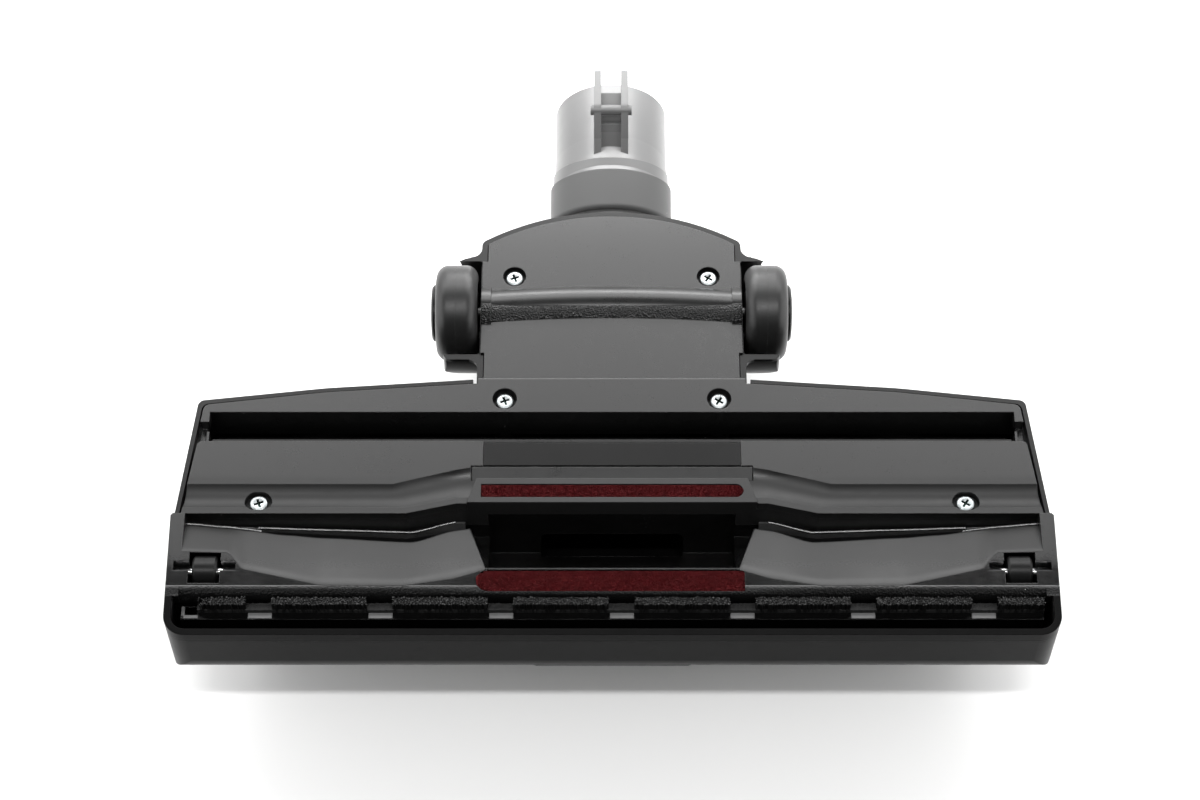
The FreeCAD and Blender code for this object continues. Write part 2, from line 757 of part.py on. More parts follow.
def front_lint_shape(thickness):
    """The front strip, round at its left end."""
    half = size.front_lint_depth / 2
    middle = size.front_lint_y + half
    round_x = half - size.front_lint_left
    strip = block(round_x, size.front_lint_right, middle - half, middle + half, -thickness, 0)
    return joined([strip, rod(half, (round_x, middle, -thickness), (round_x, middle, 0))])


def rear_lint_shape(thickness):
    """The rear strip, round at its right end."""
    half = size.rear_lint_depth / 2
    middle = size.rear_lint_y + half
    round_x = size.rear_lint_half - half
    strip = block(-size.rear_lint_half, round_x, middle - half, middle + half, -thickness, 0)
    return joined([strip, rod(half, (round_x, middle, -thickness), (round_x, middle, 0))])


def pad_section(x, edge, flat):
    """The section of a rear sole plate: ridge, cove and flat."""
    at = lambda y, z: Vector(x, y, z)
    under = -size.pad_thickness
    edges = [
        Part.LineSegment(at(edge, under), at(edge, -0.9)),
        Part.LineSegment(at(edge, -0.9), at(edge + 2.2, -0.9)),
        Part.Arc(at(edge + 2.2, -0.9), at(edge + (flat - edge) * 0.55, -2.0), at(flat, 0)),
        Part.LineSegment(at(flat, 0), at(size.pad_end_y, 0)),
        Part.LineSegment(at(size.pad_end_y, 0), at(size.pad_end_y, under)),
        Part.LineSegment(at(size.pad_end_y, under), at(edge, under)),
    ]
    return Part.Wire([edge.toShape() for edge in edges])


def sole_pads():
    """The two rear sole plates, each lofted across the head."""
    pad = Part.makeLoft([
        pad_section(size.panel_half + 0.1, 47.3, 60.8),
        pad_section(size.cheek_x, 47.3, 59.4),
        pad_section(66.0, 43.7, 55.2),
        pad_section(70.4, 43.7, 54.0),
        pad_section(size.pad_half + 2.0, 43.7, 54.0),
    ], True, True)
    # the pad clears the middle of the sole, and its outer edge leans away from the cover's rim
    clear = 0.2
    pad = pad.common(plan([
        (size.rear_pad_half + clear, 40.0, 0),
        (size.rear_pad_half + clear, size.mouth_end_y, 0),
        (size.rear_pad_end_half + clear, size.rear_pad_end_y, 0),
        (size.slope_half + clear, size.rear_pad_end_y, 0),
        (size.slope_half + clear, size.slope_end_y + clear, 0),
        (size.panel_half + 0.1, size.slope_end_y + clear, 0),
        (size.panel_half + 0.1, size.pad_end_y, 0),
        (size.pad_end_half, size.pad_end_y, 1.8),
        (size.pad_half, 43.7, 0),
        (size.pad_half, 40.0, 0),
    ], FAR_DOWN, FAR_UP))
    # the screw stands on the floor below, in an oval hole
    slot_half = size.sole_hole_half - size.sole_hole_radius
    x, y = size.sole_screw_x, size.sole_screw_y
    radius = size.sole_hole_radius
    hole = joined([
        block(x - slot_half, x + slot_half, y - radius, y + radius, -10, 5),
        rod(radius, (x - slot_half, y, -10), (x - slot_half, y, 5)),
        rod(radius, (x + slot_half, y, -10), (x + slot_half, y, 5)),
    ])
    right, left = both_sides(pad.cut(hole))
    moulding("sole_pad_right", right)
    moulding("sole_pad_left", left)


def screw_shape(length):
    """A pan-head screw with a cross recess, standing on its shank."""
    head = Part.makeCylinder(size.screw_head_radius, size.screw_head_height)
    head = head.makeFillet(0.8, [edge for edge in head.Edges if edge.BoundBox.ZMin > 1.5])
    shank = rod(size.screw_shank_radius, (0, 0, -length), (0, 0, 0.2))
    screw = head.fuse(shank).removeSplitter()
    for turn in (0, 90):
        arm = block(-1.9, 1.9, -0.45, 0.45, size.screw_head_height - 1.1, 5)
        screw = screw.cut(arm.rotate(Vector(), Vector(0, 0, 1), turn + 20))
    return screw


def screws(name, x, y, seat, length):
    """A pair of screws, one on each side."""
    pair = []
    for side in (-1, 1):
        screw = screw_shape(length)
        screw.translate(Vector(side * x, y, seat))
        pair.append(screw)
    moulding(name, Part.makeCompound(pair))


def front_bumper():
    """The strip round the front edge: a skin outside and a lip over the top."""
    skin = plan(head_outline(0), -size.seam_depth, 0).cut(plan(head_outline(1.2), -20, 5))
    lip = plan(head_outline(0), -1.3, 0).cut(plan(head_outline(2.2), -20, 5))
    strip = joined([skin, lip]).common(block(-200, 200, -5, 13.6, -20, 5))
    moulding("front_bumper", strip)


def neck_plate():
    """The plate under the neck, with the hollow bulge over the wheel axle."""
    top = -size.plate_top
    low = top - size.plate_thickness
    front_half = size.hump_half_width - size.wall - size.gap
    rear_half = size.neck_half_width - size.wall - size.gap
    start, end = size.plate_wide_y, size.plate_wide_end_y
    wide = plan(mirrored_outline([
        (front_half, size.head_depth + 0.1, 0),
        (front_half, start + 0.2, 0),
        (size.plate_half, start + 0.2, 0),
        (size.plate_half, end - 0.2, 0),
        (rear_half, end - 0.2, 0),
        (rear_half, 180.0, 0),
    ]), low, top)
    wide = wide.common(Part.makeCylinder(
        size.neck_arc_radius - size.wall - size.gap, 40, Vector(0, size.neck_arc_y, -40)))
    axle = Vector(0, size.axle_y, -size.axle_depth)
    half = size.bulge_half
    above = block(-60, 60, 110, 150, low, 0)
    # the bulge bends back a little in the middle, and ends in two thicker collars
    bend = (half ** 2 + size.bulge_rise ** 2) / (2 * size.bulge_rise)
    bulge = Part.makeTorus(bend, size.bulge_radius, axle + Vector(0, size.bulge_rise - bend, 0),
                           Vector(0, 0, 1)).common(above.common(block(-half, half, 100, 150, -30, 0)))
    collars = [part.common(above) for part in both_sides(
        rod(size.bulge_collar_radius, (half - 0.2, axle.y, axle.z), (size.plate_half, axle.y, axle.z)))]
    knee = (size.knee_y, -size.knee_depth)
    keeper = block(size.saddle_x, size.saddle_x + 3.0, size.knee_y - 7, size.knee_y + 7, -29.0, low + 0.5)
    boss = rod(size.neck_hole_radius + 0.7, (size.neck_screw_x, size.neck_screw_y, -23.9),
               (size.neck_screw_x, size.neck_screw_y, low + 0.5))
    axle_boss = block(34, 40, size.axle_y - 3.2, size.axle_y + 3.2, -16.6, low + 0.5)
    plate = joined([wide, bulge, *collars, *both_sides(keeper), *both_sides(boss), *both_sides(axle_boss)])
    holes = [
        rod(size.journal_radius + size.running_gap, (-40, *knee), (40, *knee)),
        rod(size.axle_radius, (-60, axle.y, axle.z), (60, axle.y, axle.z)),
    ]
    screw = (size.neck_screw_x, size.neck_screw_y)
    holes += both_sides(rod(size.neck_hole_radius, (*screw, -size.neck_seat), (*screw, 5)))
    holes += both_sides(rod(size.screw_shank_radius, (*screw, -40), (*screw, 5)))
    for hole in holes:
        plate = plate.cut(hole)
    moulding("neck_plate", plate)


def suction_duct():
    """The air way from the mouth to the knee."""
    wall = size.duct_wall

    def air_way(inset):
        chamber = block(-41.8 + inset, 41.8 - inset, 21.6 + inset, 49.2 - inset, -36.0 + inset, -15.4)
        # wider near the sole, where the mouth's lips are bevelled
        upper = block(-49.6 + inset, 49.6 - inset, 21.6 + inset, 49.2 - inset, -25.0 + inset, -15.4)
        return chamber.fuse([upper, plan_pipe(inset)])

    def plan_pipe(inset):
        half = size.duct_half - inset
        low = -size.duct_bottom + inset
        high = -size.duct_top - inset
        return crosswise([(-half, low, 3.0), (half, low, 3.0), (half, high, 3.0), (-half, high, 3.0)],
                         46.0, size.duct_end_y)

    # the front and rear lips rise to the strips beside the mouth
    lips = [
        block(-39.9, 39.9, 21.6, 23.4, -20, -8.0),
        block(-39.9, 39.9, 47.4, 49.2, -20, -8.0),
    ]
    shell = joined([air_way(0), *lips]).cut(air_way(wall))
    shell = shell.cut(block(-size.mouth_half, size.mouth_half, 23.5, 47.3, -20, 0))
    moulding("suction_duct", shell)


def duct_seal():
    """The strip that closes the gap between the duct and the knee's drum."""
    ring = block(-size.duct_half, size.duct_half, size.duct_end_y, 132, -size.duct_bottom, -size.duct_top)
    ring = ring.cut(block(-size.duct_half + 2.4, size.duct_half - 2.4, 100, 140,
                          -size.duct_bottom + 2.4, -size.duct_top - 2.4))
    drum = rod(size.drum_radius + size.gap, (-40, size.knee_y, -size.knee_depth),
               (40, size.knee_y, -size.knee_depth))
    # the lower lip is short, so that the neck can swing past it
    neck_room = block(-60, 60, 127.0, 140, -60, -36)
    moulding("duct_seal", ring.cut(drum).cut(neck_room))


def knee_frame():
    """The swivel's own frame: its axis leaves the knee at a tilt."""
    return Placement(Vector(0, size.swivel_y, -size.swivel_depth),
                     Rotation(Vector(1, 0, 0), size.swivel_tilt))


def along_swivel(radius, start, end):
    """A cylinder about the swivel axis, between two distances along it."""
    shape = Part.makeCylinder(radius, end - start, Vector(0, start, 0), Vector(0, 1, 0))
    shape.Placement = knee_frame()
    return shape


def beyond_swivel(start):
    """A large block that holds everything past a distance along the swivel axis."""
    shape = block(-60, 60, start, 200, -100, 100)
    shape.Placement = knee_frame()
    return shape


def knee():
    centre_z = -size.knee_depth
    centre = (size.knee_y, centre_z)
    drum = rod(size.drum_radius, (-size.drum_half, *centre), (size.drum_half, *centre))
    collar_start = knee_frame().multVec(Vector(0, 0.5 - size.collar_length, 0))
    neck = rod(size.knee_neck_radius, (0, *centre), collar_start)
    seat = along_swivel(size.seat_radius, 0.2 - size.collar_length, -8.6)
    journals = rod(size.journal_radius, (-size.journal_end_x, *centre), (size.journal_end_x, *centre))
    body = joined([drum, neck, journals]).cut(beyond_swivel(0.5 - size.collar_length)).fuse(seat)
    drum_bore = rod(size.air_radius, (-size.drum_half + 2.4, *centre), (size.drum_half - 2.4, *centre))
    neck_bore = rod(size.air_radius, (0, *centre), collar_start)
    outlet = along_swivel(size.air_radius, -18, -8)
    window = block(-22, 22, 120, size.knee_y, -39.5, -21.5)
    body = body.cut(joined([drum_bore, neck_bore, outlet])).cut(window)
    moulding("knee", body)


def swivel_tube():
    """The tube socket with its parking hook."""
    centre_z = -size.swivel_depth
    end = size.overall_depth
    root = Part.makeCone(size.tube_root_radius, size.tube_radius, 16, Vector(0, 186, centre_z),
                         Vector(0, 1, 0))
    pipe = rod(size.tube_radius, (0, 200, centre_z), (0, end, centre_z))
    collar = along_swivel(size.tube_root_radius, size.gap, 5)
    outside = joined([root, pipe, collar]).common(beyond_swivel(size.gap))
    spigot = along_swivel(17.9, -2.6, 3)
    flange = along_swivel(19.3, -8.3, -2.4)
    hook = parking_hook()
    solid = joined([outside, spigot, flange, hook])
    socket = rod(size.socket_radius, (0, end - size.socket_length, centre_z), (0, end + 1, centre_z))
    throat = rod(size.air_radius, (0, 190, centre_z), (0, end, centre_z))
    inlet = along_swivel(size.air_radius, -10, 6)
    solid = solid.cut(joined([socket, throat, inlet]))
    moulding("swivel_tube", solid)


def parking_hook():
    """Two fins with a web between them, standing on the tube."""
    foot_z = -size.swivel_depth + size.tube_radius - 1.2
    foot_y = size.hook_foot_y
    rise = size.hook_rise + 1.2
    side = [
        (foot_y - 1.2, foot_z, 0),
        (foot_y - 1.2 + rise, foot_z + rise, 3.0),
        (size.hook_end_y, foot_z + rise, 1.2),
        (size.hook_end_y, foot_z + rise - 4.0, 1.0),
        (size.hook_end_y - 5.0, foot_z + rise - 5.5, 1.0),
        (size.hook_end_y - 8.0, foot_z, 0),
    ]
    fins = both_sides(lengthwise(side, size.hook_half - size.hook_fin, size.hook_half))
    # the web rises to a ledge, drops behind it, and rises again
    web_side = [
        (foot_y + 1.0, foot_z, 0),
        (foot_y + 7.6, foot_z + 7.2, 0),
        (foot_y + 8.6, foot_z + 7.2, 0),
        (foot_y + 8.6, foot_z + 6.2, 0),
        (size.hook_end_y - 8.2, foot_z + 9.4, 0),
        (size.hook_end_y - 8.2, foot_z, 0),
    ]
    web = lengthwise(web_side, -size.hook_half + 1, size.hook_half - 1)
    # round studs stand out from the fins where their rise ends
    stud_y, stud_z = foot_y + rise - 1.0, foot_z + rise - 2.2
    stud = rod(1.8, (-size.hook_half - 1.2, stud_y, stud_z), (size.hook_half + 1.2, stud_y, stud_z))
    return joined([*fins, web, stud])


def swivel_collar():
    """The ring that keeps the tube's flange on the knee, turned about the swivel axis."""
    collar = turned("swivel_collar", [
        ("seat_radius", "0 - collar_length + 0.7"),
        ("collar_radius", "0 - collar_length + 0.7"),
        ("collar_radius", "0"),
        ("18", "0"),
        ("18", "0 - 2.1"),
        ("seat_radius", "0 - 2.1"),
    ], "XY_Plane", "V_Axis")
    outermost = number("collar_radius")
    round_edges(collar, "1.6", lambda edge: hasattr(edge.Curve, "Radius")
                and abs(edge.Curve.Radius - outermost) < 0.01 and edge.Curve.Center.y < -1)
    place(collar, "0", "swivel_y", "0 - swivel_depth")
    collar.Placement = Placement(collar.Placement.Base, knee_frame().Rotation)
    bind(collar, ".Placement.Rotation.Angle", "swivel_tilt")
    return collar


def wheels():
    hub = turned("wheel_hub_right", [
        ("wheel_inner_x", "axle_radius + running_gap"),
        ("wheel_inner_x", "hub_radius - 4"),
        ("wheel_inner_x + 2", "hub_radius"),
        ("wheel_outer_x - 1.6", "hub_radius"),
        ("wheel_outer_x - 1.6", "axle_radius + running_gap"),
    ])
    tyre = turned("wheel_tyre_right", [
        ("wheel_inner_x", "hub_radius"),
        ("wheel_inner_x", "wheel_radius"),
        ("wheel_outer_x", "wheel_radius"),
        ("wheel_outer_x", "hub_radius"),
    ])
    outermost = number("wheel_radius")
    round_edges(tyre, "4.2", lambda edge: abs(edge.Curve.Radius - outermost) < 0.01
                if hasattr(edge.Curve, "Radius") else False)
    cap = turned("hub_cap_right", [
        ("wheel_outer_x - 1.6", "0"),
        ("wheel_outer_x - 1.6", "cap_radius"),
        ("cap_outer_x - 0.6", "cap_radius"),
        ("cap_outer_x", "cap_radius - 0.8"),
        ("cap_outer_x", "0"),
    ])
    for part in (hub, tyre, cap):
        place(part, "0", "axle_y", "0 - axle_depth")
        mirrored_node(part, part.Name.replace("right", "left"))
    axle = turned("wheel_axle", [
        ("0 - axle_half + 1.6", "0"),
        ("0 - axle_half + 1.6", "axle_radius"),
        ("axle_half - 1.6", "axle_radius"),
        ("axle_half - 1.6", "0"),
    ])
    place(axle, "0", "axle_y", "0 - axle_depth")


def rollers():
    roller = turned("roller_right", [
        ("roller_x - roller_width / 2", "roller_pin_radius + running_gap"),
        ("roller_x - roller_width / 2", "roller_radius - 0.7"),
        ("roller_x - roller_width / 2 + 0.7", "roller_radius"),
        ("roller_x + roller_width / 2 - 0.7", "roller_radius"),
        ("roller_x + roller_width / 2", "roller_radius - 0.7"),
        ("roller_x + roller_width / 2", "roller_pin_radius + running_gap"),
    ])
    pin = turned("roller_pin_right", [
        ("roller_x - roller_pin_half", "0"),
        ("roller_x - roller_pin_half", "roller_pin_radius"),
        ("roller_x + roller_pin_half", "roller_pin_radius"),
        ("roller_x + roller_pin_half", "0"),
    ])
    for part in (roller, pin):
        place(part, "0", "roller_y", "0 - roller_depth")
        mirrored_node(part, part.Name.replace("right", "left"))


def brush_frame():
    """The sliding frame: a bar in each slot, joined under the channel and over the duct."""
    half = size.carrier_half
    arm_low = -size.arm_depth - size.arm_thickness
    front_bar = block(-half, half, size.carrier_y, size.carrier_end_y, -17.0, -size.carrier_top)
    # the left end, beyond the tufts, is an open pocket
    front_bar = front_bar.cut(block(-half + 1, size.tuft_first_x - 0.2, 9.9, 12.9, -15.0, 0))
    rear_bar = block(-rear_bar_half(), rear_bar_half(), 71.6, 79.0, -17.0, -13.0)
    arms = both_sides(block(size.arm_x, size.arm_x + 6, 9.3, 79.0, arm_low, -size.arm_depth))
    uprights = both_sides(block(size.arm_x, size.arm_x + 6, 9.3, 12.6, arm_low, -16.0))
    rear_uprights = both_sides(block(size.arm_x, size.arm_x + 6, 73.0, 77.0, arm_low, -14.0))
    bridge = block(-size.arm_x - 6, size.arm_x + 6, 53.5, 60.5, -18.8, -size.bridge_depth)
    bridge_posts = both_sides(block(size.arm_x, size.arm_x + 6, 53.5, 60.5, arm_low, -17.0))
    leg = block(size.leg_x, size.leg_x + size.leg_thickness, 53.5, 60.5, -52.4, -17.0)
    frame = joined([front_bar, rear_bar, *arms, *uprights, *rear_uprights, bridge, *bridge_posts,
                    *both_sides(leg)])
    tilt = math.radians(size.pedal_half_travel)
    pin_y = size.pedal_pivot_y - size.pedal_arm * math.cos(tilt)
    pin_z = -size.pedal_pivot_depth - size.pedal_arm * math.sin(tilt)
    # the pedal's pins move forward a little as it rocks, so their holes are long
    for y in (pin_y, pin_y - 0.6):
        frame = frame.cut(rod(1.55, (-40, y, pin_z), (40, y, pin_z)))
    moulding("brush_frame", frame)


def rear_bar_half():
    return size.rear_slot_half - 1.0


def bristles():
    """Eight tufts on a backing strip, set into the front bar."""
    pieces = [block(size.tuft_first_x, size.carrier_half, 11.0, size.carrier_end_y, -size.carrier_top,
                    -size.backing_top)]
    left = size.tuft_first_x
    edge = left + 15.7
    spans = [(left, edge)]
    first = edge + size.tuft_gap
    for i in range(6):
        spans.append((first + i * size.tuft_pitch, first + i * size.tuft_pitch + 30.0))
    spans.append((first + 6 * size.tuft_pitch, size.tuft_last_x))
    for x1, x2 in spans:
        pieces.append(block(x1, x2, size.tuft_y, size.tuft_y + size.tuft_depth, -size.carrier_top,
                            -size.tuft_top))
    moulding("front_bristles", joined(pieces))


def rear_blade():
    """The wiper blade on the rear bar."""
    blade = lengthwise([
        (71.8, -13.0, 0),
        (71.8, -12.0, 0),
        (70.9, -size.blade_tip, 0),
        (72.1, -size.blade_tip, 0),
        (74.4, -12.0, 0),
        (74.4, -13.0, 0),
    ], -rear_bar_half(), rear_bar_half())
    moulding("rear_blade", blade)


def foot_pedal():
    """The rocker on the cover's top, drawn level and then tilted to its rest."""
    pivot_y, pivot_z = size.pedal_pivot_y, -size.pedal_pivot_depth
    low = -size.sole_height + 3.2
    half = size.pedal_half
    reach = size.pedal_reach
    plate = lengthwise([
        (pivot_y - reach, low, 1.0),
        (pivot_y - reach, low + size.pedal_plate, 0),
        (pivot_y + reach, low + size.pedal_plate, 0),
        (pivot_y + reach, low, 1.0),
        (pivot_y, low + 1.4, 0),
    ], -half, half)
    hub = rod(3.2, (-half, pivot_y, pivot_z), (half, pivot_y, pivot_z))
    web = block(-half, half, pivot_y - 2.0, pivot_y + 2.0, low + 1, pivot_z)
    arm = lengthwise([
        (pivot_y - size.pedal_arm - 1.8, pivot_z - 1.8, 1.5),
        (pivot_y - size.pedal_arm - 1.8, pivot_z + 1.8, 1.5),
        (pivot_y + 1.0, pivot_z + 1.8, 0),
        (pivot_y + 1.0, low + 1, 0),
        (pivot_y - reach + 3, low + 1, 0),
    ], half - 2.2, half)
    pin = rod(1.4, (half - 1, pivot_y - size.pedal_arm, pivot_z),
              (size.leg_x + size.leg_thickness - 0.2, pivot_y - size.pedal_arm, pivot_z))
    pedal = joined([plate, hub, web, *both_sides(arm), *both_sides(pin)])
    pedal = pedal.cut(rod(size.pedal_pin_radius + size.running_gap, (-40, pivot_y, pivot_z),
                          (40, pivot_y, pivot_z)))
    # room for the spring round the pin
    pedal = pedal.cut(block(-6.0, 6.0, pivot_y - 3.4, pivot_y + 3.4, pivot_z - 3.4, pivot_z + 3.4))
    pedal.rotate(Vector(0, pivot_y, pivot_z), Vector(1, 0, 0), size.pedal_half_travel)
    moulding("foot_pedal", pedal)


def pedal_fittings():
    pin = turned("pedal_pin", [
        ("0 - 27.3", "0"),
        ("0 - 27.3", "pedal_pin_radius"),
        ("27.3", "pedal_pin_radius"),
        ("27.3", "0"),
    ])
    place(pin, "0", "pedal_pivot_y", "0 - pedal_pivot_depth")
    spring = turned("pedal_spring", [
        ("0 - 4.5", "pedal_pin_radius"),
        ("0 - 4.5", "pedal_pin_radius + 1"),
        ("4.5", "pedal_pin_radius + 1"),
        ("4.5", "pedal_pin_radius"),
    ])
    place(spring, "0", "pedal_pivot_y", "0 - pedal_pivot_depth")


def centre_panel():
    panel = padded("centre_panel", [
        ("0 - panel_half", "panel_y"),
        ("panel_half", "panel_y"),
        ("panel_half", "pad_end_y - 0.6"),
        ("0 - panel_half", "pad_end_y - 0.6"),
    ], "pad_thickness")
    place(panel, "0", "0", "0 - pad_thickness")


top_cover()
base_plate()
sole_pads()
centre_panel()
front_bumper()
neck_plate()
moulding("front_lint_strip", front_lint_shape(size.lint_thickness))
moulding("rear_lint_strip", rear_lint_shape(size.lint_thickness))
screws("neck_screws", size.neck_screw_x, size.neck_screw_y, -size.neck_seat, size.screw_length)
screws("flange_screws", size.flange_screw_x, size.flange_screw_y, -size.flange_seat, size.screw_length + 6)
screws("sole_screws", size.sole_screw_x, size.sole_screw_y, -size.pad_thickness, size.screw_length - 2)
suction_duct()
duct_seal()
knee()
swivel_collar()
swivel_tube()
wheels()
rollers()
brush_frame()
bristles()
rear_blade()
foot_pedal()
pedal_fittings()

doc.recompute()
for thing in doc.Objects:
    if "Invalid" in thing.State or "Error" in thing.State:
        raise RuntimeError(f"{thing.Label} did not recompute: {thing.State}")
for name, thing in nodes:
    if thing.Shape.isNull() or not thing.Shape.isValid():
        raise RuntimeError(f"{name} has no valid shape")
os.makedirs("parts", exist_ok=True)
for name, thing in nodes:
    thing.Shape.exportStep(f"parts/{name}.step")
    box = thing.Shape.BoundBox
    print(f"{name:20s} solids {len(thing.Shape.Solids)}  volume {thing.Shape.Volume:9.1f}"
          f"  x {box.XMin:7.1f} {box.XMax:6.1f}  y {box.YMin:7.1f} {box.YMax:6.1f}"
          f"  z {box.ZMin:6.1f} {box.ZMax:5.1f}")
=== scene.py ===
# %% [markdown]
# # A vacuum floor brush head, seen from below
# The head lies on its cover with the sole up, the way it is turned over on a bench to be cleaned.
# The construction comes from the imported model. This lesson gives each surface its finish, and
# replaces the soft and fine pieces (velour strips, brush tufts, screws) with modelled ones.

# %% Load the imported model
import json
import math
import random

import bpy
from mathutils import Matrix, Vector


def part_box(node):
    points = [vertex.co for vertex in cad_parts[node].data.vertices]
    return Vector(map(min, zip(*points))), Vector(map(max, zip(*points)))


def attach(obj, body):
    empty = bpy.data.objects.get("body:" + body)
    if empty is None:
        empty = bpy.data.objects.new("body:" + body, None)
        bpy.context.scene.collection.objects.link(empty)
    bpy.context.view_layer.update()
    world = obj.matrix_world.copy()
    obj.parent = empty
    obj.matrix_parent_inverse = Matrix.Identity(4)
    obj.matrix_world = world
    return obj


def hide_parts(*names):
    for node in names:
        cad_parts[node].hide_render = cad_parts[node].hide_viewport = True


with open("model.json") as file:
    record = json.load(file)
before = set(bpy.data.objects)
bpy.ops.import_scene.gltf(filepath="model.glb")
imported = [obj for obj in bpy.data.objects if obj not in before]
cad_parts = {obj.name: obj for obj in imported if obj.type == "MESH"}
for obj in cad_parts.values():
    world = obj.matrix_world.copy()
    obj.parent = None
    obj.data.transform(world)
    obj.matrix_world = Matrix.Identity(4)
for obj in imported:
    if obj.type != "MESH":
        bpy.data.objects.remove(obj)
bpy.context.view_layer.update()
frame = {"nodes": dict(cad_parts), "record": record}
bpy.ops.object.select_all(action="DESELECT")
random.seed(7)

# %% [markdown]
# The model is in metres and every drawing of a cleaning head is in millimetres, so lengths are
# written in millimetres and changed once. Places along the head are easiest to give as the distance
# behind its front edge, and heights as the distance above the sole, which is where the real
# maker's drawing starts too.

# %% Lengths and places
MM = 0.001
CLOSE = 0.1 * MM  # places that are nearer than this count as one
HEAD_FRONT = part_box("front_bumper")[0].y
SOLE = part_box("front_bumper")[1].z


def spot(x, behind_front, above_sole):
    """A place on the head, from millimetres, in the model's frame."""
    return Vector((x * MM, HEAD_FRONT + behind_front * MM, SOLE + above_sole * MM))


print("sole is", round(SOLE / MM, 1), "mm above the floor")

# %% [markdown]
# The camera comes first, because every later choice is judged through it. The photograph was taken
# with a long lens from above the front edge. The angle and distance follow from how much the far
# tube is drawn in against the near edge.

# %% Camera
LENS = 82.5
SENSOR_WIDTH = 36.0
LOOK_DOWN = math.radians(58.6)
CAMERA_PLACE = spot(-3.9, -383.3, 768.2)
camera_data = bpy.data.cameras.new("Camera")
camera_data.lens = LENS
camera_data.sensor_width = SENSOR_WIDTH
camera = bpy.data.objects.new("Camera", camera_data)
bpy.context.collection.objects.link(camera)
camera.location = CAMERA_PLACE
camera.rotation_euler = (math.pi / 2 - LOOK_DOWN, 0, 0)
bpy.context.scene.camera = camera
print("camera at", [round(v, 3) for v in camera.location])

# %% [markdown]
# The studio is a white room that is dark in front. A wall of light stands behind the head, from the
# floor up to about 60 degrees, and the sole reflects it: that reflection, and not the black
# plastic's own colour, is what makes the upward faces grey. The low part of the wall is dim, and a
# narrow stretch straight behind the head is less bright than the wings beside it. The wall's upper
# edge is why the front of the sole, which is seen more steeply, is darker than the neck. Two side
# walls lift the ends. A narrow lamp overhead, a little in front, gives the sharp edge of the shadow
# and the sparkle on rounded faces, and a small hot panel over the tube washes it out. One table
# holds the whole rig, so that the lamps can be compared line by line.

# %% Studio
scene = bpy.context.scene
scene.view_settings.view_transform = "Standard"
MIDDLE = spot(0, 90, 0)
WALL_Y = 0.95
DIM_HEIGHT = 0.72
BRIGHT_HEIGHT = 0.90
DIM_Z = DIM_HEIGHT / 2
BRIGHT_Z = DIM_HEIGHT + BRIGHT_HEIGHT / 2
SIDE_Y = -0.15
LIGHTS = [
    # name, place and aim from the middle of the head in metres, width, depth, brightness
    ("low_wall", (0, WALL_Y, DIM_Z), (0, 0, DIM_Z), 2.8, DIM_HEIGHT, 2.4),
    ("back_wall", (0, WALL_Y, BRIGHT_Z), (0, 0, BRIGHT_Z), 0.3, BRIGHT_HEIGHT, 4.6),
    ("back_wing", (-0.7, WALL_Y, BRIGHT_Z), (-0.7, 0, BRIGHT_Z), 1.1, BRIGHT_HEIGHT, 6.8),
    ("side_wall", (-0.8, SIDE_Y, 0.3), (0, SIDE_Y, 0), 1.2, 0.8, 2.6),
    ("back_wing", (0.7, WALL_Y, BRIGHT_Z), (0.7, 0, BRIGHT_Z), 1.1, BRIGHT_HEIGHT, 6.8),
    ("side_wall", (0.8, SIDE_Y, 0.3), (0, SIDE_Y, 0), 1.2, 0.8, 2.6),
    ("top_lamp", (0, -0.32, 1.2), (0, 0, 0), 1.0, 0.07, 38.0),
    ("tube_panel", (0, 0.162, 0.050), (0, 0.154, -0.012), 0.13, 0.05, 11.5),
]
ROOM_GLOW = 0.03
FLOOR_WIDTH = 12
FLOOR_DROP = 0.0002


def panel(name, place, aim, wide, deep, brightness):
    """A soft box at a place, turned towards a point. Its brightness is its radiance."""
    bpy.ops.object.light_add(type="AREA", location=place)
    light = bpy.context.object
    light.name = name
    light.data.shape = "RECTANGLE"
    light.data.size = wide
    light.data.size_y = deep
    light.data.energy = brightness * math.pi * wide * deep
    light.rotation_euler = (aim - place).to_track_quat("-Z", "Y").to_euler()
    light.visible_camera = False


for name, place, aim, wide, deep, brightness in LIGHTS:
    panel(name, MIDDLE + Vector(place), MIDDLE + Vector(aim), wide, deep, brightness)

world = bpy.data.worlds.new("Room")
scene.world = world
world.use_nodes = True
background = world.node_tree.nodes["Background"]
background.inputs["Color"].default_value = (1, 1, 1, 1)
background.inputs["Strength"].default_value = ROOM_GLOW

bpy.ops.mesh.primitive_plane_add(size=FLOOR_WIDTH, location=(0, 0, -FLOOR_DROP))
floor = bpy.context.object
floor.name = "floor"

# %% [markdown]
# A finish is a net of shader nodes. Written out link by link it is hard to read, so one small class
# stands for a socket, and arithmetic on it adds the Math nodes. A second class makes any other
# node from its type, its settings and what goes into its sockets.

# %% Sockets that can be added and multiplied


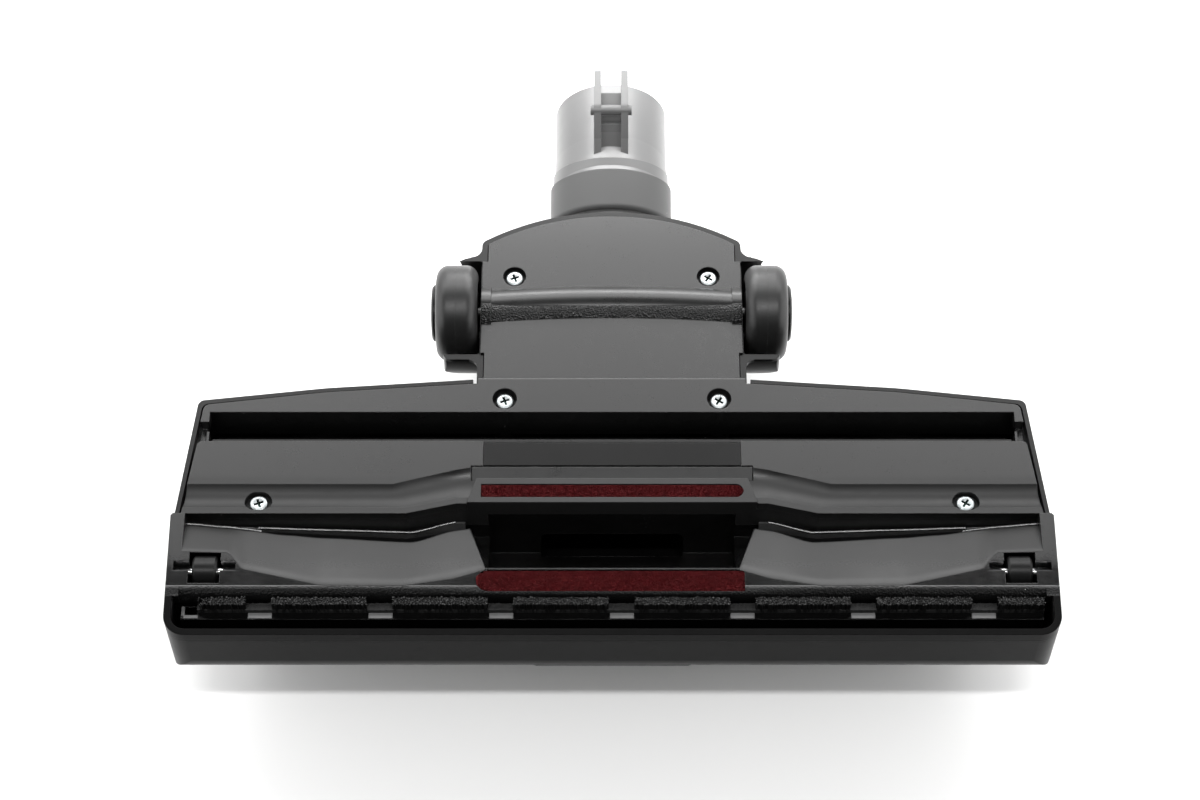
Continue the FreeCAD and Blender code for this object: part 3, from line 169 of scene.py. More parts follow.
class Wire:
    """The output of a node, or of a sum of nodes."""

    def __init__(self, tree, socket):
        self.tree = tree
        self.socket = socket

    def maths(self, operation, first, second=None):
        node = self.tree.nodes.new("ShaderNodeMath")
        node.operation = operation
        feed(node.inputs[0], first)
        if second is not None:
            feed(node.inputs[1], second)
        return Wire(self.tree, node.outputs[0])

    def __add__(self, other):
        return self.maths("ADD", self, other)

    def __radd__(self, other):
        return self.maths("ADD", other, self)

    def __sub__(self, other):
        return self.maths("SUBTRACT", self, other)

    def __rsub__(self, other):
        return self.maths("SUBTRACT", other, self)

    def __mul__(self, other):
        return self.maths("MULTIPLY", self, other)

    def __truediv__(self, other):
        return self.maths("DIVIDE", self, other)

    def clamped(self):
        """Cut to the range from 0 to 1."""
        return self.maths("MINIMUM", self.maths("MAXIMUM", self, 0.0), 1.0)

    def size(self):
        """The value without its sign."""
        return self.maths("ABSOLUTE", self)

    def above(self, limit):
        """1 where the value is above a limit, and otherwise 0."""
        return self.maths("GREATER_THAN", self, limit)

    def below(self, limit):
        """1 where the value is below a limit, and otherwise 0."""
        return self.maths("LESS_THAN", self, limit)


def feed(socket, value):
    """Give a socket a value, or link a wire to it."""
    if isinstance(value, Wire):
        value.tree.links.new(value.socket, socket)
    else:
        socket.default_value = value


print("sockets can be added, multiplied and compared")

# %% Finishes


class Finish:
    """A material in the making."""

    def __init__(self, name):
        self.material = bpy.data.materials.new(name)
        self.material.use_nodes = True
        self.tree = self.material.node_tree
        self.shader = self.tree.nodes["Principled BSDF"]

    def node(self, kind, settings=None, sockets=None, output=0):
        """Any node: its settings are set first, then its sockets are given values or links."""
        made = self.tree.nodes.new("ShaderNode" + kind)
        for key, value in (settings or {}).items():
            setattr(made, key, value)
        for key, value in (sockets or {}).items():
            feed(made.inputs[key], value)
        return Wire(self.tree, made.outputs[output])

    def set(self, **sockets):
        """Values or links for the shader's own sockets."""
        for key, value in sockets.items():
            feed(self.shader.inputs[key.replace("_", " ")], value)

    def blend(self, share, **sockets):
        """Mix in a second shader, which has its own values, by a share."""
        first = self.shader
        self.shader = self.tree.nodes.new("ShaderNodeBsdfPrincipled")
        self.set(**sockets)
        both = self.tree.nodes.new("ShaderNodeMixShader")
        feed(both.inputs[0], share)
        self.tree.links.new(first.outputs[0], both.inputs[1])
        self.tree.links.new(self.shader.outputs[0], both.inputs[2])
        self.tree.links.new(both.outputs[0], self.tree.nodes["Material Output"].inputs["Surface"])
        self.shader = first

    def place(self):
        """The place on the piece, in metres."""
        return self.node("TexCoord", output="Object")

    def along(self, axis):
        """The place along one axis."""
        return self.node("SeparateXYZ", None, {"Vector": self.place()}, axis)

    def noise(self, where, grain, detail=2.0):
        """Cloudy noise whose lumps are about as large as the grain, in millimetres."""
        return self.node("TexNoise", None, {"Vector": where, "Scale": 1 / (grain * MM), "Detail": detail},
                         "Fac")

    def colours(self, share, first, second):
        """Two colours mixed by a share. Each is a wire, or its red, green and blue."""
        ends = [end if isinstance(end, Wire) else (*end, 1) for end in (first, second)]
        return self.node("Mix", {"data_type": "RGBA"},
                         {"Factor": share, "A": ends[0], "B": ends[1]}, "Result")

    def bump(self, height, depth, normal=None):
        """A normal from a height of 0 to 1, whose full depth is in millimetres."""
        sockets = {"Height": height, "Distance": depth * MM}
        if normal:
            sockets["Normal"] = normal
        return self.node("Bump", None, sockets)


def grey(tone):
    """A neutral colour."""
    return (tone, tone, tone)


print("finish helpers are ready")

# %% [markdown]
# Parts of one moulding look different. The strip in front of the scoops is rubbed smooth, and the
# rounded edges that face forward keep a coarse grain that sparkles. They could be separate pieces
# with a material each, but the real sole is one shot of plastic, so they are zones of one finish:
# bands across the head, given by their distance behind the front edge. Where a place isn't a plain
# band, a function of its own works out the share.

# %% Zones of a moulding
FRONT_FADE = 1.0
ANY_HEIGHT = -60.0
# zones: front edge, back edge, fade behind it and lowest height in mm, roughness, coarseness
ROUNDED_FRONT = (14.6, 16.2, 1.2, ANY_HEIGHT, 0.34, 36.0)
RUBBED_STRIP = (17.6, 23.0, 6.0, ANY_HEIGHT, 0.16, 0.0)
RUBBED_SCOOP = (-20.0, 23.0, 6.0, ANY_HEIGHT, 0.22, 0.0)
COVE = (44.5, 56.0, 2.0, ANY_HEIGHT, 0.52, 0.0)
BULGE_FRONT = (118.0, 126.4, 1.0, -9.8, 0.34, 40.0)
TUBE_TILT = math.radians(13.5)
TUBE_START = 191.5
FIN_FOOT = -9.6
COAT_START = 15.0
COAT_FADE = 10.0
COAT_MOST = 0.42


def zone_share(made, zone):
    """How much a place on a finish is in a zone, from 0 to 1."""
    front, back, fade, lowest = zone[:4]
    y = made.along("Y")
    begins = ((y - spot(0, front - FRONT_FADE, 0).y) / (FRONT_FADE * MM)).clamped()
    ends = ((spot(0, back + fade, 0).y - y) / (fade * MM)).clamped()
    return begins * ends * made.along("Z").above(spot(0, 0, lowest).z)


def slot_edge(made):
    """The share of the sole that rolls over into the brush slot."""
    return zone_share(made, ROUNDED_FRONT)


def hook_fins(made):
    """The share of the tube that stands above its round wall, which rises to the rear."""
    rise = made.along("Z") - made.along("Y") * math.tan(TUBE_TILT)
    return rise.above(spot(0, 0, FIN_FOOT).z - spot(0, TUBE_START, 0).y * math.tan(TUBE_TILT))


def worn_rear(made):
    """The shine of the cover: none in front, and worn in behind, where hands hold it."""
    behind_start = (made.along("Y") - spot(0, COAT_START, 0).y) / MM
    return (behind_start / COAT_FADE).clamped() * COAT_MOST


print("the rounded front reaches from", ROUNDED_FRONT[0], "to", ROUNDED_FRONT[1], "mm behind the edge")

# %% [markdown]
# Nearly every piece is a black moulding, and they still look different: the mould of a sole is
# spark-eroded to a fine grain, the channel that carries the dust is polished, and the bumper is a
# soft grippy plastic. One function makes them all, which keeps them one family. It takes the
# plastic's colour, how rough the mould left it, and the size and depth of the grain. Slow mottling
# from the flow of the plastic, sparse dust and faint scuffs are shared. Grooves are the thin lines
# where two halves of a mould met. They are too shallow to be worth modelling, so bump draws them.

# %% Moulded plastic
EDGE_RADIUS = 0.35 * MM
FLOW_SIZE = 28.0
SCUFF_SIZE = 4.0
COARSE_GRAIN = 0.6
GROOVE_HALF = 0.14 * MM
GROOVE_DEPTH = 0.2
COAT_ROUGHNESS = 0.3
SPECK_PITCH = 5.0 * MM
SPECK_RADIUS = 0.032  # as a share of the pitch
SPECK_CHOICE = 0.94
DUST = (0.5, 0.5, 0.48)
DUST_COVER = 0.6
# how much roughness each pattern adds or takes
GRAIN_ROUGHNESS = 0.16
FLOW_ROUGHNESS = 0.1
SCUFF_ROUGHNESS = 0.1
DUST_ROUGHNESS = 0.3


def dust_specks(made):
    """Dust lies as single specks: the cells of a Voronoi pattern, of which few are chosen."""
    cells = {"Vector": made.place(), "Scale": 1 / SPECK_PITCH}
    cell = made.node("TexVoronoi", None, cells, "Color")
    chosen = made.node("SeparateColor", None, {"Color": cell}, "Red").above(SPECK_CHOICE)
    return made.node("TexVoronoi", None, cells, "Distance").below(SPECK_RADIUS) * chosen


def moulded(name, dark, light, rough, grain, depth, shine, zones=(), grooves=(), dull=None, coat=None):
    """A moulded plastic. It may be dull in one place, and have a coat whose weight varies."""
    made = Finish(name)
    where = made.place()
    fine = made.noise(where, grain, detail=3.0)
    flow = made.noise(where, FLOW_SIZE, detail=3.0)
    scuffs = made.noise(where, SCUFF_SIZE, detail=4.0)
    specks = dust_specks(made)
    plastic = made.colours(flow, grey(dark), grey(light))
    dusty = made.colours(specks * DUST_COVER, plastic, DUST)
    rounded = made.node("Bevel", {"samples": 4}, {"Radius": EDGE_RADIUS})

    height = fine
    for zone in zones:
        share = zone_share(made, zone)
        zone_rough, coarse = zone[4:]
        rough = rough + share * (zone_rough - rough)
        if coarse:
            # each cell of the grain is a small cone, so it has one facet that catches a lamp
            cone = made.node("TexVoronoi", None, {"Vector": where, "Scale": 1 / (COARSE_GRAIN * MM)})
            height = height + share * cone * coarse
    for axis, middle_line in grooves:
        beside = (made.along(axis).size() - middle_line).size()
        height = height - beside.below(GROOVE_HALF) * (GROOVE_DEPTH / depth)
    made.set(Base_Color=dusty, Specular_IOR_Level=shine,
             Roughness=rough + (fine - 0.5) * GRAIN_ROUGHNESS + (flow - 0.5) * FLOW_ROUGHNESS
             + (scuffs - 0.5) * SCUFF_ROUGHNESS + specks * DUST_ROUGHNESS,
             Normal=made.bump(height, depth, rounded))
    if coat:
        made.set(Coat_Weight=coat(made), Coat_Roughness=COAT_ROUGHNESS)
    if dull:
        dull_share, dull_shine = dull
        made.blend(dull_share(made), Base_Color=dusty, Specular_IOR_Level=dull_shine,
                   Roughness=rough, Normal=made.bump(height, depth, rounded))
    return made.material


print("dust specks are", round(2 * SPECK_RADIUS * SPECK_PITCH / MM, 2), "mm wide")

# %% [markdown]
# The real head is moulded in few plastics: a hard one for cover and sole, a softer one for bumper
# and tyres, and a grey one for elbow and tube. One table gives each its values, so that neighbours
# can be compared, and a second names the few special places. Tone and shine were set against the
# photograph, in which the sole shines and the bumper and the front of the cover hardly do.

# %% Plastics of the head
BUMPER_SEAM = ("Z", SOLE - 3.4 * MM)
TYRE_SEAM = ("X", 52.4 * MM)
ROLLER_SEAM = ("X", 128.8 * MM)
PLASTICS = {
    # finish: darkest and lightest grey, roughness, grain and its depth in mm, shine
    "cover_plastic": (0.003, 0.005, 0.32, 0.3, 0.008, 0.05),
    "sole_plastic": (0.003, 0.005, 0.31, 0.34, 0.008, 0.5),
    "scoop_plastic": (0.003, 0.005, 0.34, 0.34, 0.008, 0.33),
    "line_plastic": (0.003, 0.005, 0.16, 0.6, 0.004, 0.5),
    "bumper_plastic": (0.003, 0.005, 0.32, 0.4, 0.010, 0.035),
    "inner_plastic": (0.001, 0.002, 0.22, 0.6, 0.004, 0.25),
    "joint_plastic": (0.075, 0.085, 0.46, 0.3, 0.006, 0.15),
    "tube_plastic": (0.100, 0.110, 0.38, 0.3, 0.006, 0.55),
    "pedal_plastic": (0.005, 0.008, 0.42, 0.34, 0.010, 0.5),
    "wheel_plastic": (0.004, 0.007, 0.36, 0.3, 0.006, 0.20),
    "wheel_rubber": (0.005, 0.008, 0.42, 0.5, 0.012, 0.5),
    "seal_rubber": (0.003, 0.005, 0.30, 0.5, 0.006, 0.3),
    "panel_plastic": (0.003, 0.005, 0.34, 0.3, 0.008, 0.17),
}
SPECIAL_PLACES = {
    "cover_plastic": {"coat": worn_rear},
    "sole_plastic": {"zones": (ROUNDED_FRONT, RUBBED_STRIP, COVE, BULGE_FRONT), "dull": (slot_edge, 0.12)},
    "scoop_plastic": {"zones": (RUBBED_SCOOP,)},
    "bumper_plastic": {"grooves": (BUMPER_SEAM,)},
    "tube_plastic": {"dull": (hook_fins, 0.15)},
    "wheel_plastic": {"grooves": (ROLLER_SEAM,)},
    "wheel_rubber": {"grooves": (TYRE_SEAM,)},
}
finishes = {name: moulded(name, *values, **SPECIAL_PLACES.get(name, {}))
            for name, values in PLASTICS.items()}
print("plastics:", sorted(finishes))

# %% [markdown]
# The metal is in two finishes. The screws are bright zinc, faintly blue and streaked by the tool
# that pressed them, and the walls of their recess are painted dark, which is painted shade. Pins
# and the axle are drawn steel, with fine lines along their length, which are noise stretched that
# way. The recess could be a material of its own faces, but a cut leaves many slivers, so its place
# inside the head picks it out.

# %% Metals
STREAK_SIZE = 0.5
CLOUD_SIZE = 1.6
STREAK_DEPTH = 0.01
STREAK_ROUGHNESS = 0.2
RECESS_RADIUS = 2.35 * MM
RECESS_TOP = 0.2 * MM
RECESS_FLOOR = 1.5 * MM
# painted shade inside the screws' cross recess
RECESS_SHADE_COLOUR = (0.035, 0.055, 0.048)
ALONG_THE_PIN = (0.1, 1, 1)
EVEN = (1, 1, 1)
METALS = {
    # finish: darkest and lightest colour, roughness, how the noise is stretched
    "pin_steel": ((0.60, 0.60, 0.61), (0.85, 0.85, 0.86), 0.24, ALONG_THE_PIN),
    "axle_steel": (grey(0.06), grey(0.12), 0.35, ALONG_THE_PIN),
}
ZINC = ((0.30, 0.33, 0.34), (0.52, 0.54, 0.54), 0.42, EVEN)


def metal(name, dark, light, rough, stretch, screws=None):
    """A bright metal with streaks. A pair of screws is given by the place of the right head's top; their
    cross recess is painted dark, as painted shade.
    """
    made = Finish(name)
    where = made.place()
    drawn = made.node("Mapping", None, {"Vector": where, "Scale": stretch})
    lines = made.noise(drawn, STREAK_SIZE)
    colour = made.colours(made.noise(where, CLOUD_SIZE, detail=3.0), dark, light)
    if screws:
        x, y, z = (made.along(axis) for axis in "XYZ")
        across = x.size() - screws.x
        back = y - screws.y
        near = (across * across + back * back).below(RECESS_RADIUS ** 2)
        # the cross recess is painted dark grey-green: painted shade
        recess_shade = near * z.below(screws.z - RECESS_TOP) * z.above(screws.z - RECESS_FLOOR)
        colour = made.colours(recess_shade, colour, RECESS_SHADE_COLOUR)
    made.set(Base_Color=colour, Metallic=1.0, Roughness=rough + (lines - 0.5) * STREAK_ROUGHNESS,
             Normal=made.bump(lines, STREAK_DEPTH))
    return made.material


for name, values in METALS.items():
    finishes[name] = metal(name, *values)
print("metals:", sorted(METALS))

# %% [markdown]
# New pieces start as primitives at their real size and place. Operators act on whatever is selected,
# so small helpers first clear the selection. One writes a finished piece's place into its mesh,
# which leaves the object itself at the origin.

# %% Helpers for whole pieces


def alone(thing):
    """Select one thing and make it active."""
    bpy.ops.object.select_all(action="DESELECT")
    thing.select_set(True)
    bpy.context.view_layer.objects.active = thing


def start(maker, **settings):
    """A new primitive, alone selected and active."""
    bpy.ops.object.select_all(action="DESELECT")
    maker(**settings)
    return bpy.context.object


def settle(thing):
    """Write the place, turn and scale of a thing into its mesh."""
    alone(thing)
    bpy.ops.object.transform_apply(location=True, rotation=True, scale=True)


def block(low, high):
    """A block between two corners, with its place in its mesh."""
    made = start(bpy.ops.mesh.primitive_cube_add, size=1, location=(low + high) / 2)
    made.scale = high - low
    settle(made)
    return made


def use(thing, kind, **settings):
    """Add a modifier and apply it."""
    bpy.context.view_layer.objects.active = thing
    modifier = thing.modifiers.new(kind.title(), kind)
    for key, value in settings.items():
        setattr(modifier, key, value)
    bpy.ops.object.modifier_apply(modifier=modifier.name)


def rows(thing, step, count):
    """Repeat a piece along a step."""
    use(thing, "ARRAY", use_relative_offset=False, use_constant_offset=True,
        constant_offset_displace=step, count=count)


def merge(things, name):
    """Join things into the first one."""
    bpy.ops.object.select_all(action="DESELECT")
    for thing in things:
        thing.select_set(True)
    bpy.context.view_layer.objects.active = things[0]
    bpy.ops.object.join()
    things[0].name = name
    things[0].data.name = name
    return things[0]


def dress(thing, material):
    """Give a thing one material in place of what it has."""
    thing.data.materials.clear()
    thing.data.materials.append(material)


print("helpers for whole pieces are ready")

# %% Helpers inside a mesh


def object_mode():
    bpy.ops.object.mode_set(mode="OBJECT")


def pick(thing, chosen, kind="VERT"):
    """Select, in edit mode, the vertices or edges whose place passes a test."""
    mesh = thing.data
    bpy.context.view_layer.objects.active = thing
    bpy.ops.object.mode_set(mode="EDIT")
    bpy.ops.mesh.select_mode(type=kind)
    bpy.ops.mesh.select_all(action="DESELECT")
    object_mode()
    if kind == "VERT":
        for vertex in mesh.vertices:
            vertex.select = chosen(vertex.co)
    else:
        for edge in mesh.edges:
            edge.select = all(chosen(mesh.vertices[end].co) for end in edge.vertices)
    bpy.ops.object.mode_set(mode="EDIT")


def thin_out(thing, one, kept):
    """Delete the copies, each of so many vertices, whose middle fails a test."""
    mesh = thing.data
    pick(thing, lambda place: False)
    object_mode()
    for first in range(0, len(mesh.vertices), one):
        copy = [mesh.vertices[i] for i in range(first, first + one)]
        if not kept(sum((vertex.co for vertex in copy), Vector()) / one):
            for vertex in copy:
                vertex.select = True
    bpy.ops.object.mode_set(mode="EDIT")
    bpy.ops.mesh.delete(type="VERT")
    object_mode()


print("helpers inside a mesh are ready")

# %% [markdown]
# On both sides of the mouth the sole is scooped out, so that air can run along it to the channel.
# The scoop falls gently to the rear and ends in a rounded lip, with the deep channel behind it. A
# loft would need a section at every bend, so two short tables give the scoop's front edge and its
# lip instead, and the form between them is worked out.

# %% Form of the scoops
SCOOP_FRONT = [
    # x, front edge y
    (39.0, 23.4), (50.0, 19.9), (66.0, 17.4), (92.0, 17.6), (117.0, 23.4), (121.5, 29.2), (138.0, 29.6),
]
SCOOP_LIP = [
    # x, lip y, lip depth
    (39.0, 41.5, 4.2), (50.0, 39.6, 4.2), (64.0, 35.3, 4.2), (92.0, 36.8, 4.1), (104.0, 37.8, 4.0),
    (117.0, 39.4, 3.8), (122.0, 40.0, 3.7), (136.6, 41.2, 3.5),
]
SCOOP_TURN = 0.14


def along_line(line, x, column, easing):
    """A column of a table, between its rows. Easing rounds the corners at the rows."""
    for before, after in zip(line, line[1:]):
        if x <= after[0]:
            share = min(max((x - before[0]) / (after[0] - before[0]), 0.0), 1.0)
            blend = share + easing * (share * share * (3 - 2 * share) - share)
            return before[column] * (1 - blend) + after[column] * blend
    return line[-1][column]


def scoop_fall(share):
    """How far down the scoop is, as a share of its depth: it bends gently away from the flat."""
    if share < SCOOP_TURN:
        return share * share / (2 * SCOOP_TURN) / (1 - SCOOP_TURN / 2)
    return (share - SCOOP_TURN / 2) / (1 - SCOOP_TURN / 2)


print("the scoop is deepest at", max(SCOOP_LIP, key=lambda row: row[2])[:2])

# %% [markdown]
# Each scoop is a grid of squares whose points are moved to that form, with the edges of lip and
# mouth drawn down and rounded by a bevel. A grid keeps its squares even, so the light runs smoothly
# over it. It overlaps the flat sole in front by a hair, which hides the joint. The second scoop is
# the first one mirrored.

# %% Scoops of the sole
SCOOP_OUTER = 136.6
SCOOP_INNER = 39.7
SCOOP_LEAN = 5.6
SCOOP_LAP = 0.3
SCOOP_LIFT = 0.02
LIP_EASING = 0.5
LIP_ROUNDING = 1.0 * MM
SHEET = 0.6 * MM
SKIRT = 7.0 * MM
COLUMNS = 80
ROWS = 20


def scoop():
    """The scoop to the right of the mouth."""
    made = start(bpy.ops.mesh.primitive_grid_add, x_subdivisions=COLUMNS, y_subdivisions=ROWS, size=1)
    settle(made)
    for vertex in made.data.vertices:
        along, back = vertex.co.x + 0.5, vertex.co.y + 0.5
        inner = SCOOP_INNER + SCOOP_LEAN * back
        x = inner + along * (SCOOP_OUTER - inner)
        front_y = along_line(SCOOP_FRONT, x, 1, 0.0) - SCOOP_LAP
        lip_y, depth = (along_line(SCOOP_LIP, x, column, LIP_EASING) for column in (1, 2))
        vertex.co = spot(x, front_y + back * (lip_y - front_y), SCOOP_LIFT - depth * scoop_fall(back))
    inner_end = {v.index for v in made.data.vertices if v.index % (COLUMNS + 1) == 0}
    lip = {v.index for v in made.data.vertices if v.index >= (COLUMNS + 1) * ROWS}
    pick(made, lambda place: False)
    bpy.ops.mesh.select_mode(type="EDGE")
    object_mode()
    for edge in made.data.edges:
        ends = set(edge.vertices)
        edge.select = ends <= inner_end or ends <= lip
    bpy.ops.object.mode_set(mode="EDIT")
    bpy.ops.mesh.extrude_edges_move(TRANSFORM_OT_translate={"value": (0, 0, -SKIRT)})
    bpy.ops.mesh.select_all(action="SELECT")
    bpy.ops.mesh.normals_make_consistent(inside=False)
    object_mode()
    use(made, "BEVEL", width=LIP_ROUNDING, segments=5, limit_method="ANGLE",
        angle_limit=math.radians(50))
    use(made, "SOLIDIFY", thickness=SHEET, offset=-1)
    return made


def both_sides(made, right_name, left_name, finish):
    """Finish a piece of the right side, and its mirror image on the left."""
    alone(made)
    bpy.ops.object.duplicate()
    twin = bpy.context.object
    twin.scale = (-1, 1, 1)
    settle(twin)
    pick(twin, lambda place: True)
    bpy.ops.mesh.normals_make_consistent(inside=False)
    object_mode()
    for piece, name in ((made, right_name), (twin, left_name)):
        alone(piece)
        bpy.ops.object.shade_smooth_by_angle(angle=math.radians(40))
        piece.name = name
        dress(piece, finishes[finish])
        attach(piece, "head")
        print(name, len(piece.data.polygons), "faces")


both_sides(scoop(), "sole_scoop_right", "sole_scoop_left", "scoop_plastic")

# %% [markdown]
# The foot of the channel's rear wall and the outer stretch of the lip each show as one thin bright
# line, because the mould is polished there. A round bead shows the lamp as a line too thin to see,
# so the line is a narrow strip, slightly rounded, that leans to the front by the angle at which it
# throws the light of the lamp to the camera.

# %% Polished lines of the channel
FOOT_LINE = [
    # x, y, z of the foot of the channel's rear wall
    (50.6, 47.0, -12.6), (64.5, 43.2, -12.6), (92.0, 43.2, -11.0), (114.0, 43.2, -9.6),
]
LIP_LINE = [
    # x, y, z of the lip further out
    (112.0, 39.0, -4.1), (117.0, 39.7, -4.0), (122.0, 40.3, -3.9), (136.4, 41.5, -3.7),
]
LINE_EASING = 0.3
LINE_TILT = math.radians(20.5)
LINE_SPREAD = math.radians(16)
LINE_RADIUS = 3.0
LINE_SHEET = 0.3 * MM


def polished_line(line):
    """A narrow bright facet along a line, slightly rounded, that leans to the front."""
    made = start(bpy.ops.mesh.primitive_grid_add, x_subdivisions=COLUMNS, y_subdivisions=6, size=1)
    settle(made)
    for vertex in made.data.vertices:
        x = line[0][0] + (vertex.co.x + 0.5) * (line[-1][0] - line[0][0])
        y, z = (along_line(line, x, column, LINE_EASING) for column in (1, 2))
        angle = LINE_TILT - vertex.co.y * LINE_SPREAD
        across = LINE_RADIUS * (math.sin(LINE_TILT) - math.sin(angle))
        up = LINE_RADIUS * (math.cos(angle) - math.cos(LINE_TILT))
        vertex.co = spot(x, y + across, z + up)
    use(made, "SOLIDIFY", thickness=LINE_SHEET, offset=-1)
    return made


both_sides(merge([polished_line(FOOT_LINE), polished_line(LIP_LINE)], "line"),
           "channel_line_right", "channel_line_left", "line_plastic")

# %% [markdown]
# The two red strips are velour, a short pile that picks up lint. Its colour isn't even: the dark
# between the threads is painted shade, and a few threads carry painted highlights. Two sizes of
# noise make the dark and the red, and the brightest dots of a third, finer noise are the painted
# glints. A velvet shader would add a pale rim that the short dense pile doesn't have.

# %% Velour finish
# the dark is painted shade between the threads, and the glint colour is a painted highlight
PILE_DARK = (0.004, 0.0002, 0.0004)
PILE_RED = (0.080, 0.003, 0.005)
PILE_PAINTED_GLINT = (0.45, 0.10, 0.10)
THREAD_SIZE = 0.22
PATCH_SIZE = 2.2
GLINT_SIZE = 0.12
GLINT_CHOICE = 0.69
PAINTED_GLINT_COVER = 0.5
PILE_ROUGHNESS = 0.75
GLINT_ROUGHNESS = 0.40
PILE_SHINE = 0.08
THREAD_DEPTH = 0.06
pile_finish = Finish("velour")
where = pile_finish.place()
thread = pile_finish.noise(where, THREAD_SIZE)
patch = pile_finish.noise(where, PATCH_SIZE)
# painted highlights: the brightest dots of the finest noise are painted light red
painted_glint = pile_finish.noise(where, GLINT_SIZE, 0.0).above(GLINT_CHOICE)
red = pile_finish.colours(thread * 0.7 + patch * 0.5, PILE_DARK, PILE_RED)
pile_finish.set(Base_Color=pile_finish.colours(painted_glint * PAINTED_GLINT_COVER, red, PILE_PAINTED_GLINT),
                Roughness=PILE_ROUGHNESS - painted_glint * (PILE_ROUGHNESS - GLINT_ROUGHNESS),
                Normal=pile_finish.bump(thread, THREAD_DEPTH), Specular_IOR_Level=PILE_SHINE)
finishes["velour"] = pile_finish.material
print("velour is", finishes["velour"].name)

# %% [markdown]
# The pile stands in rows and leans one way, and each tuft of it is a few loops of thread. Hair would
# show it well but isn't a mesh, so one small clump of leaning cones is modelled, repeated in rows
# over the strip, and cut to the strip's outline, which is round at one end. Random shifts of the
# tips break up the rows.

# %% Clump of pile
PILE_PITCH = 0.72 * MM
ROW_PITCH = PILE_PITCH * 1.5
PILE_HEIGHT = 1.1 * MM
PILE_LEAN = 0.3
PILE_SPREAD = (0.30, 0.24)
LOOPS = 4
FIRST_LOOP = 0.3  # the clump is turned off its row by this share of a loop
LOOP_FOOT = 0.11 * MM
LOOP_TOP = 0.17 * MM


def clump(at):
    """A few loops of thread that leave the backing together and fan out."""
    loops = []
    for turn in range(LOOPS):
        angle = (turn + FIRST_LOOP) * math.tau / LOOPS
        tip = Vector((math.cos(angle) * PILE_SPREAD[0], math.sin(angle) * PILE_SPREAD[1] - PILE_LEAN, 1.0))
        tip.normalize()
        loop = start(bpy.ops.mesh.primitive_cone_add, vertices=5, radius1=LOOP_FOOT, radius2=LOOP_TOP,
                     depth=PILE_HEIGHT, location=at + tip * PILE_HEIGHT / 2,
                     rotation=tip.to_track_quat("Z", "Y").to_euler())
        loops.append(loop)
    return merge(loops, "clump")


print("clumps stand", PILE_PITCH / MM, "mm apart")

# %% Velour strips
PILE_SHOWN = 0.7
PILE_TIPS = 0.4
PILE_TIP_SHIFT = 0.16 * MM
PILE_BORDER = 0.28 * MM
ROUND_SHARE = 0.98  # a full round would make the two corners meet in one point


def velour(node, name, round_side):
    """The pile strip in place of a plain pad of the model, round at one end."""
    low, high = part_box(node)
    half = (high.y - low.y) / 2
    middle_y = low.y + half
    round_x = low.x + half if round_side < 0 else high.x - half
    backing = block(low, high - Vector((0, 0, PILE_HEIGHT * PILE_SHOWN)))
    backing_mesh = backing.data
    pick(backing, lambda place: False)
    object_mode()
    for edge in backing_mesh.edges:
        ends = [backing_mesh.vertices[i].co for i in edge.vertices]
        upright = (ends[0] - ends[1]).xy.length < CLOSE
        edge.select = upright and (ends[0].x - round_x) * round_side > 0
    bpy.ops.object.mode_set(mode="EDIT")
    bpy.ops.mesh.select_mode(type="EDGE")
    bpy.ops.mesh.bevel(offset=half * ROUND_SHARE, segments=8, affect="EDGES")
    object_mode()

    first = Vector((low.x, low.y, high.z - PILE_HEIGHT))
    pile = merge([clump(first), clump(first + Vector((PILE_PITCH / 2, ROW_PITCH / 2, 0)))], "pile")
    settle(pile)
    one = len(pile.data.vertices) // 2
    rows(pile, (PILE_PITCH, 0, 0), int((high.x - low.x) / PILE_PITCH) + 1)
    rows(pile, (0, ROW_PITCH, 0), int((high.y - low.y) / ROW_PITCH) + 1)

    def on_the_strip(at):
        beyond = max((at.x - round_x) * round_side, 0.0)
        inside_ends = low.x + PILE_BORDER < at.x < high.x - PILE_BORDER
        return inside_ends and math.hypot(beyond, at.y - middle_y) < half - PILE_BORDER

    thin_out(pile, one, on_the_strip)
    pick(pile, lambda place: place.z > high.z - PILE_HEIGHT * PILE_TIPS)
    bpy.ops.transform.vertex_random(offset=PILE_TIP_SHIFT, uniform=1.0, seed=5)
    object_mode()
    strip = merge([backing, pile], name)
    dress(strip, finishes["velour"])
    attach(strip, "head")
    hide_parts(node)
    print(name, len(strip.data.polygons), "faces")


velour("front_lint_strip", "front_velour", -1)
velour("rear_lint_strip", "rear_velour", 1)

# %% [markdown]
# The brush is a row of eight dense tufts of fine black fibre, with a gap of bare carrier between
# them. The tufts are trimmed flat by a knife. Their grey woolly tops are painted light, and their
# near black sides are painted shade. One finish does both: it turns from the tone of the sides to
# the tone of the tips by height.

# %% Brush fibre finish
brush_low, brush_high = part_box("front_bristles")
TIP_BAND = 0.6 * MM
STRAND_SIZE = 0.28
STRAND_DEPTH = 0.05
STRAND_ROUGHNESS = 0.2
TUFT_PATCH_SIZE = 1.6
FIBRE_ROUGHNESS = 0.6
FIBRE_SHINE = 0.25
FIBRES = {
    # finish: darkest and lightest grey of the sides, painted shade, then of the tips, painted light
    "bristle_fibre": (0.001, 0.004, 0.002, 0.10),
    "brush_backing": (0.006, 0.035, 0.006, 0.035),
}


